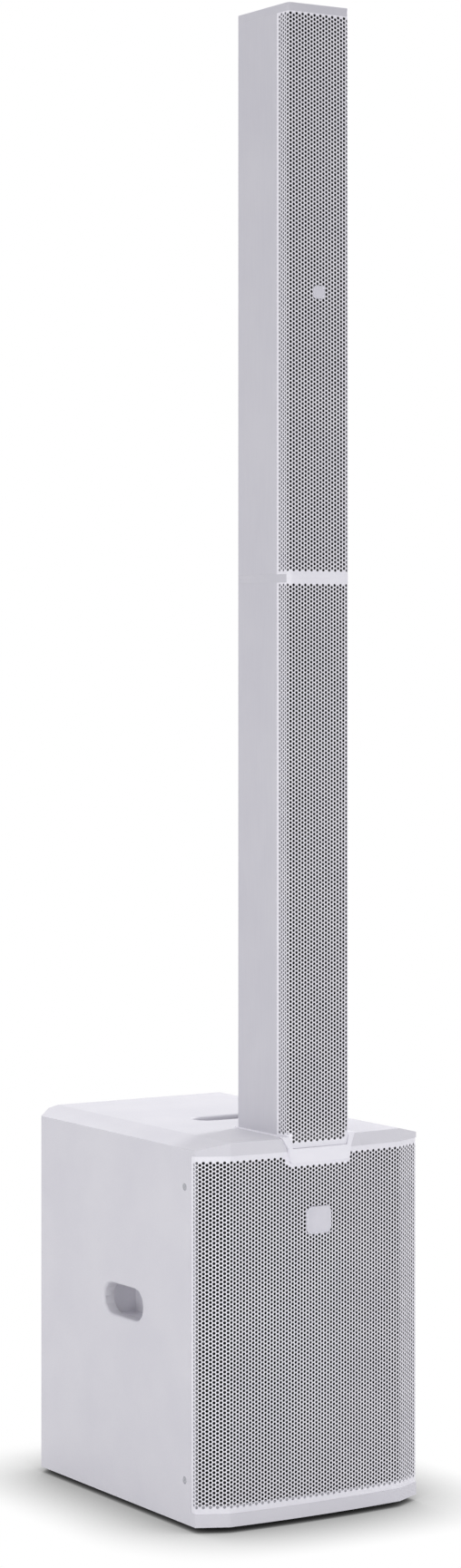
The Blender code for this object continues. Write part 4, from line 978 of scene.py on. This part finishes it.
# Steel bands over the fronts of the two caps that meet at the joint: they stand a little proud, lap over
# the sheets and leave a fine slit
BAND_FACES = (-0.0002, 0.0003)
BAND_LAP = 0.0007
BAND_SLIT = 0.00002
band_end = COLUMN_HALF - COLUMN_CORNER + math.pi / 2 * COLUMN_CORNER
lower_cap_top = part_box("lower_top_cap")[1].z
upper_cap_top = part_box("upper_bottom_cap")[1].z
joint = (lower_cap_top + upper_cap_top - CAP_HEIGHT) / 2
for section, low, high in (
    ("lower", lower_cap_top - CAP_HEIGHT - BAND_LAP, joint - BAND_SLIT),
    ("upper", joint + BAND_SLIT, upper_cap_top + BAND_LAP),
):
    band = bmesh.new()
    tape(band, column_at, BAND_FACES, -band_end, band_end, low, high)
    piece(f"{section}_joint_band", band, COATED_STEEL, f"{section}_column")

# Black liner behind the skirt
LINER_DEPTHS = (0.00105, 0.00135)
LINER_INSET = 0.0014
LINER_LOWS = (0.0012, 0.0018)
LINER_LAP = 0.003
LINER_STEPS = 24
liner = []
for height in (*(skirt_low + way for way in LINER_LOWS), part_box("lower_foam")[0].z + LINER_LAP):
    reach = min(skirt_half(height) - LINER_INSET, COLUMN_HALF - COLUMN_CORNER)
    liner.append(strip_ring(column_at, -reach, reach, LINER_STEPS, *LINER_DEPTHS, height))
shape = bmesh.new()
skin(shape, liner)
piece("skirt_liner", shape, BLACK_ABS, "lower_column")

# ---------------------------------------------------------------- badges and screws

# A badge's rim, its corner and how fast the corner tightens inwards, as shares of the width and the inset
BADGE_RIM = 0.07
BADGE_CORNER = 0.22
BADGE_TIGHTENS = 0.7
# Its outer bevel and its dish, as (inset, level) in shares of how far it stands proud
BADGE_BEVEL = ((0, 0), (0, 0.6), (0.15, 0.88), (0.4, 1))
BADGE_DISH = ((0, 1), (0.3, 0.7), (2, 0.66))


def badge(name, width, height, place, proud, body):
    """A bare badge plate: a rounded square with a bevelled rim and a shallow dish."""
    layers = []
    for rim, steps in ((0, BADGE_BEVEL), (width * BADGE_RIM, BADGE_DISH)):
        for share, level in steps:
            inset = rim + proud * share
            corner = width * BADGE_CORNER - inset * BADGE_TIGHTENS
            layers.append((slab_ring(width - 2 * inset, height - 2 * inset, corner), proud * level))
    shape = bmesh.new()
    stack(shape, layers, place, "front")
    return piece(name, shape, PEARL_LACQUER, body)


# Name, width, height, place, how far it stands proud, and body
badge("bass_badge_plate", 0.0385, 0.0362, (0, bow_front, 0.3975), 0.002, "subwoofer")
badge("column_badge_plate", 0.018, 0.017, (0, COLUMN_FRONT, 1.621), 0.0014, "upper_column")

# Screws as radius, height of the head, socket over its flats and depth of the socket
SIDE_SCREW = (0.0048, 0.0010, 0.0022, 0.0005)
PANEL_SCREW = (0.0034, 0.0018, 0.0025, 0.0013)
JACK_SCREW = (0.0018, 0.0010, 0.0015, 0.0008)
SIDE_SCREW_SUNK = 0.003


def centre_of(low, high):
    """The middle of a box."""
    return [(a + b) / 2 for a, b in zip(low, high)]


for facing in ("left", "right"):
    for level in ("bottom", "top"):
        node = f"side_screw_{facing}_{level}"
        low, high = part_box(node)
        _, y, z = centre_of(low, high)
        face = low.x if facing == "left" else high.x
        shape = bmesh.new()
        socket_screw(shape, (face, y, z), facing, *SIDE_SCREW, sunk=SIDE_SCREW_SUNK)
        made = piece(f"cabinet_screw_{facing}_{level}", shape, BRIGHT_ZINC, "subwoofer")
        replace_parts(made, node)

# ---------------------------------------------------------------- amplifier panel on the back

softened("amp_panel", "amplifier_panel", PANEL_EDGE, BLACK_ANODISED)
softened("amp_display", "display_window", WINDOW_EDGE, SMOKED_ACRYLIC)
softened("power_inlet", "mains_inlet", TRIM_EDGE, BLACK_ABS)
softened("power_rocker", "rocker_switch", TRIM_EDGE, BLACK_ABS)
for number in (1, 2):
    softened(f"input_jack_{number}", f"input_socket_{number}", PANEL_EDGE, BLACK_ABS)

# The rocker's two printed marks: a bar on the pressed half and a ring on the raised half. The bar is given as
# width, height, corner and steps, the ring as (radius, level).
BAR_PLACE = (0.075, 0.2191, 0.1675)
BAR = (0.0009, 0.0046, 0.0003, 2)
BAR_LEVELS = (-0.0002, 0.0001)
HOOP_PLACE = (0.075, 0.2203, 0.1571)
HOOP = ((0.0016, -0.0002), (0.0024, -0.0002), (0.0024, 0.0001), (0.0016, 0.0001))
shape = bmesh.new()
stack(shape, [(slab_ring(*BAR), level) for level in BAR_LEVELS], BAR_PLACE, "rear")
hoop = [(round_ring(radius), level) for radius, level in HOOP]
stack(shape, hoop, HOOP_PLACE, "rocker's raised half", looped=True)
piece("rocker_marks", shape, PRINT_INK, "power_rocker")

# Panel screws: all round, and two on each side between the corners
PANEL_SCREW_INSET = 0.008
PANEL_SCREW_LEVELS = (0.2, 0.316)
panel_low, panel_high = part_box("amp_panel")
panel_face = panel_high.y
sides = (panel_low.x + PANEL_SCREW_INSET, panel_high.x - PANEL_SCREW_INSET)
ends = (panel_low.z + PANEL_SCREW_INSET, panel_high.z - PANEL_SCREW_INSET)
spots = [(x, z) for x in (sides[0], 0, sides[1]) for z in ends]
spots += [(x, z) for x in sides for z in PANEL_SCREW_LEVELS]
shape = bmesh.new()
for x, z in spots:
    socket_screw(shape, (x, panel_face, z), "rear", *PANEL_SCREW)
piece("panel_screws", shape, ZINC_STEEL, "subwoofer")

# A knob's cap: its base as (share of the radius, depth of the grips, level), then its top with the level
# counted from the cap's face, which is KNOB_LOW under the solid's
KNOB_BASE = ((0.95, 0, 0.0004), (1, 0, 0.0008), (1, 0, 0.0022), (0.93, 0.0007, 0.0028))
KNOB_TOP = ((0.84, 0.0007, -0.0012), (0.8, 0.0003, -0.0004), (0.72, 0, 0), (0.6, 0, -0.0003))
KNOB_LOW = 0.001
# Its printed pointer, with its length and middle as shares of the radius and its levels from the cap's face
POINTER_WIDTH, POINTER_CORNER, POINTER_STEPS = 0.0012, 0.0004, 2
POINTER_LENGTH, POINTER_MIDDLE = 0.72, 0.5
POINTER_LEVELS = (-0.0006, 0.0004)
# The dial's ticks, in degrees and metres, with longer ones at the ends and the middle
TICKS = 11
FIRST_TICK, TICK_TURN = -150, 30
LONG_TICKS = (0, 5, 10)
LONG_TICK, SHORT_TICK = 0.0026, 0.0017
TICK_WIDTH, TICK_CORNER, TICK_STEPS = 0.0007, 0.0002, 1
TICK_RADIUS = 0.0128
TICK_LEVELS = (-0.00005, 0.00012)
marks = bmesh.new()
for knob in ("channel_1_knob", "main_knob", "channel_2_knob"):
    low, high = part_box(knob)
    x, _, z = centre_of(low, high)
    place = (x, panel_face, z)
    radius, tall = (high.x - low.x) / 2, high.y - panel_face - KNOB_LOW
    layers = [(ribbed_ring(radius * share, grip), level) for share, grip, level in KNOB_BASE]
    layers += [(ribbed_ring(radius * share, grip), tall + level) for share, grip, level in KNOB_TOP]
    shape = bmesh.new()
    stack(shape, layers, place, "rear")
    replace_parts(piece(f"{knob}_cap", shape, SOFT_TOUCH, knob), knob)
    line = slab_ring(POINTER_WIDTH, radius * POINTER_LENGTH, POINTER_CORNER, POINTER_STEPS)
    line = [(u, v + radius * POINTER_MIDDLE) for u, v in line]
    shape = bmesh.new()
    stack(shape, [(line, tall + level) for level in POINTER_LEVELS], place, "rear")
    piece(f"{knob}_pointer", shape, PRINT_INK, knob)
    for step in range(TICKS):
        turn = math.radians(FIRST_TICK + TICK_TURN * step)
        long = LONG_TICK if step in LONG_TICKS else SHORT_TICK
        reach = TICK_RADIUS + long / 2
        cosine, sine = polar(1, turn)
        tick = [(u, v + reach) for u, v in slab_ring(TICK_WIDTH, long, TICK_CORNER, TICK_STEPS)]
        tick = [(u * cosine + v * sine, v * cosine - u * sine) for u, v in tick]
        stack(marks, [(tick, level) for level in TICK_LEVELS], place, "rear")
piece("dial_marks", marks, PRINT_INK, "subwoofer")

# Nuts round the input sockets as (radius, level), with two small screws on a diagonal
INPUT_NUT = (
    (0.0040, -0.0004),
    (0.0068, -0.0004),
    (0.0068, 0.0014),
    (0.0064, 0.0018),
    (0.0046, 0.0018),
    (0.0040, 0.0012),
)
JACK_SCREW_WAY = 0.0112
for number in (1, 2):
    low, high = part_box(f"input_jack_{number}")
    x, _, z = centre_of(low, high)
    shape = bmesh.new()
    nut = [(round_ring(radius), level) for radius, level in INPUT_NUT]
    stack(shape, nut, (x, high.y, z), "rear", looped=True)
    piece(f"input_nut_{number}", shape, ZINC_STEEL, "subwoofer")
    shape = bmesh.new()
    for way in (-JACK_SCREW_WAY, JACK_SCREW_WAY):
        socket_screw(shape, (x + way, high.y, z - way), "rear", *JACK_SCREW)
    piece(f"input_screws_{number}", shape, ZINC_STEEL, "subwoofer")

# Signal lamps as (radius, level)
LAMP = ((0.0015, -0.0003), (0.0015, 0.0005), (0.0012, 0.0011), (0.0005, 0.0014))
LAMP_SIDES = 16
LAMP_PLACES = ((-0.06, 0.357), (0.06, 0.357))
lamps = bmesh.new()
for x, z in LAMP_PLACES:
    dome = [(round_ring(radius, LAMP_SIDES), level) for radius, level in LAMP]
    stack(lamps, dome, (x, panel_face, z), "rear")
piece("signal_lamps", lamps, LAMP_LENS, "subwoofer")

# Pins in the mains inlet as (width, height, level), from the inlet's floor
PIN = ((0.002, 0.0042, 0), (0.002, 0.0042, 0.0125), (0.0012, 0.0032, 0.0138))
PIN_CORNER, PIN_STEPS = 0.0003, 2
PIN_PLACES = ((0.068, 0.132), (0.082, 0.132), (0.075, 0.1375))
INLET_FLOOR = 0.1994
pins = bmesh.new()
for x, z in PIN_PLACES:
    blade = [(slab_ring(width, height, PIN_CORNER, PIN_STEPS), level) for width, height, level in PIN]
    stack(pins, blade, (x, INLET_FLOOR, z), "rear")
piece("mains_pins", pins, ZINC_STEEL, "subwoofer")

# ---------------------------------------------------------------- woofer surround

# The half roll is parted at its crest: the inner half moves with the cone, and the halves' sleeves slide by
# each other, so that the roll stays closed over the whole stroke. Both halves have the same levels, counted
# forward from the middle of the box, and their radii go out from their flange, over the crest and back.
woofer_axis = (0, 0, centre_of(*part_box("woofer_surround"))[2])
SURROUND_SIDES = 72
SURROUND_LEVELS = (
    0.1916, 0.1931, 0.1931, 0.1971, 0.1998, 0.2008, 0.2005, 0.1934, 0.1934, 0.1990, 0.1983, 0.1955, 0.1916
)
INNER_RADII = (
    0.0910, 0.0910, 0.0971, 0.0988, 0.1021, 0.1052, 0.1060, 0.1060, 0.1052, 0.1050, 0.1024, 0.0995, 0.0985
)
OUTER_RADII = (
    0.1215, 0.1215, 0.1154, 0.1137, 0.1104, 0.1073, 0.1065, 0.1065, 0.1073, 0.1075, 0.1101, 0.1130, 0.1140
)


def half_roll(name, radii, body):
    """One half of the surround."""
    rings = [(round_ring(radius, SURROUND_SIDES), level) for radius, level in zip(radii, SURROUND_LEVELS)]
    shape = bmesh.new()
    stack(shape, rings, woofer_axis, "front", looped=True)
    return piece(name, shape, RUBBER, body)


half_roll("surround_inner", INNER_RADII, "woofer_motion")
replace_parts(half_roll("surround_outer", OUTER_RADII, "subwoofer"), "woofer_surround")

# ---------------------------------------------------------------- solids that stay as they are

dress(STAINED_BIRCH, "sub_baffle")
dress(BLACK_ABS, "dock_socket", "port_tube_left", "port_tube_right", "lower_baffle", "upper_baffle")
dress(BLACK_CASTING, "woofer_basket", "upper_tweeter")
dress(BLACK_CASTING, *(f"{section}_driver_{i}" for section in ("lower", "upper") for i in range(1, 5)))
dress(PAPER_PULP, "woofer_cone", "woofer_dust_cap")
dress(PLAIN_ALUMINIUM, "woofer_voice_coil", "amp_heatsink")
dress(RESIN_CLOTH, "woofer_spider")
dress(ZINC_STEEL, "woofer_top_plate", "woofer_yoke")
dress(FERRITE, "woofer_magnet")
dress(SOLDER_MASK, "amp_board")

# ---------------------------------------------------------------- floor, light and backdrop

FLOOR_REACH = 4.0
FLOOR_SIDES = 64
bpy.ops.mesh.primitive_circle_add(vertices=FLOOR_SIDES, radius=FLOOR_REACH, fill_type="NGON")
floor = bpy.context.object
floor.name = "studio_floor"


def seen_directly(tree):
    """1 for the camera, mirrors and glass, and 0 for light that falls on something."""
    path = add(tree, "ShaderNodeLightPath").outputs
    straight = calculated(tree, "MAXIMUM", path["Is Camera Ray"], path["Is Glossy Ray"])
    return calculated(tree, "MAXIMUM", straight, path["Is Transmission Ray"])


# White paper sweep: matt, with fibres of 2.5 mm, seen as white with a painted shadow, from the occlusion near
# the box, that closes in under the box
SHADOW_REACH = 0.15
SHADOW_POWER = 1.35
SHADOW_SAMPLES = 24
FIBRE = 0.0025
WHITE = (1, 1, 1, 1)
paper = bpy.data.materials.new("white_paper_sweep")
paper.use_nodes = True
tree = paper.node_tree
tree.nodes.clear()
place = add(tree, "ShaderNodeTexCoord").outputs["Object"]
fibres = add(tree, "ShaderNodeTexNoise", {"Vector": place, "Scale": 1 / FIBRE}).outputs[0]
tone = add(
    tree, "ShaderNodeMix", {0: fibres, 6: linear("#e6e6e6"), 7: linear("#ebebeb")}, data_type="RGBA"
)
matt = add(tree, "ShaderNodeBsdfDiffuse", {"Color": tone.outputs[2]})
open_sky = add(tree, "ShaderNodeAmbientOcclusion", {"Distance": SHADOW_REACH}, samples=SHADOW_SAMPLES)
shade = calculated(tree, "POWER", open_sky.outputs["AO"], SHADOW_POWER)
seen_white_with_painted_shadow = add(tree, "ShaderNodeEmission", {"Color": WHITE, "Strength": shade})
blend = add(
    tree, "ShaderNodeMixShader", {0: seen_directly(tree), 1: matt.outputs[0], 2: seen_white_with_painted_shadow.outputs[0]}
)
add(tree, "ShaderNodeOutputMaterial", {"Surface": blend.outputs[0]})
floor.data.materials.append(paper)

AMBIENT = 0.59
world = bpy.data.worlds.new("studio")
scene.world = world
world.use_nodes = True
tree = world.node_tree
tree.nodes.clear()
room = add(tree, "ShaderNodeBackground", {"Color": linear("#fbfaff"), "Strength": AMBIENT})
backdrop = add(tree, "ShaderNodeBackground", {"Color": WHITE, "Strength": 1})
either = add(
    tree, "ShaderNodeMixShader", {0: seen_directly(tree), 1: room.outputs[0], 2: backdrop.outputs[0]}
)
add(tree, "ShaderNodeOutputWorld", {"Surface": either.outputs[0]})


def soft_box(name, place, target, size, power):
    """A square diffused lamp that faces a point."""
    lamp = bpy.data.lights.new(name, "AREA")
    lamp.shape = "SQUARE"
    lamp.size = size
    lamp.energy = power
    made = bpy.data.objects.new(name, lamp)
    made.location = place
    made.rotation_euler = (Vector(target) - Vector(place)).to_track_quat("-Z", "Y").to_euler()
    scene.collection.objects.link(made)


# Name, place, what it faces, width in metres and power in watts
soft_box("overhead light", (0.2, 0.2, 4.2), (0, 0, 0), 2.5, 39)
soft_box("front light", (-0.6, -2.8, 0.75), (0, 0, 0.7), 1.5, 14.3)
soft_box("low side light", (-2.2, -0.6, 0.35), (0, 0, 0.4), 1.0, 5.6)
soft_box("high side light", (-2.8, 0.3, 1.6), (0, 0, 1.2), 1.6, 9.3)
soft_box("rear light", (2.9, 1.0, 2.6), (0, 0, 0.5), 0.8, 59)

scene.view_settings.view_transform = "Standard"
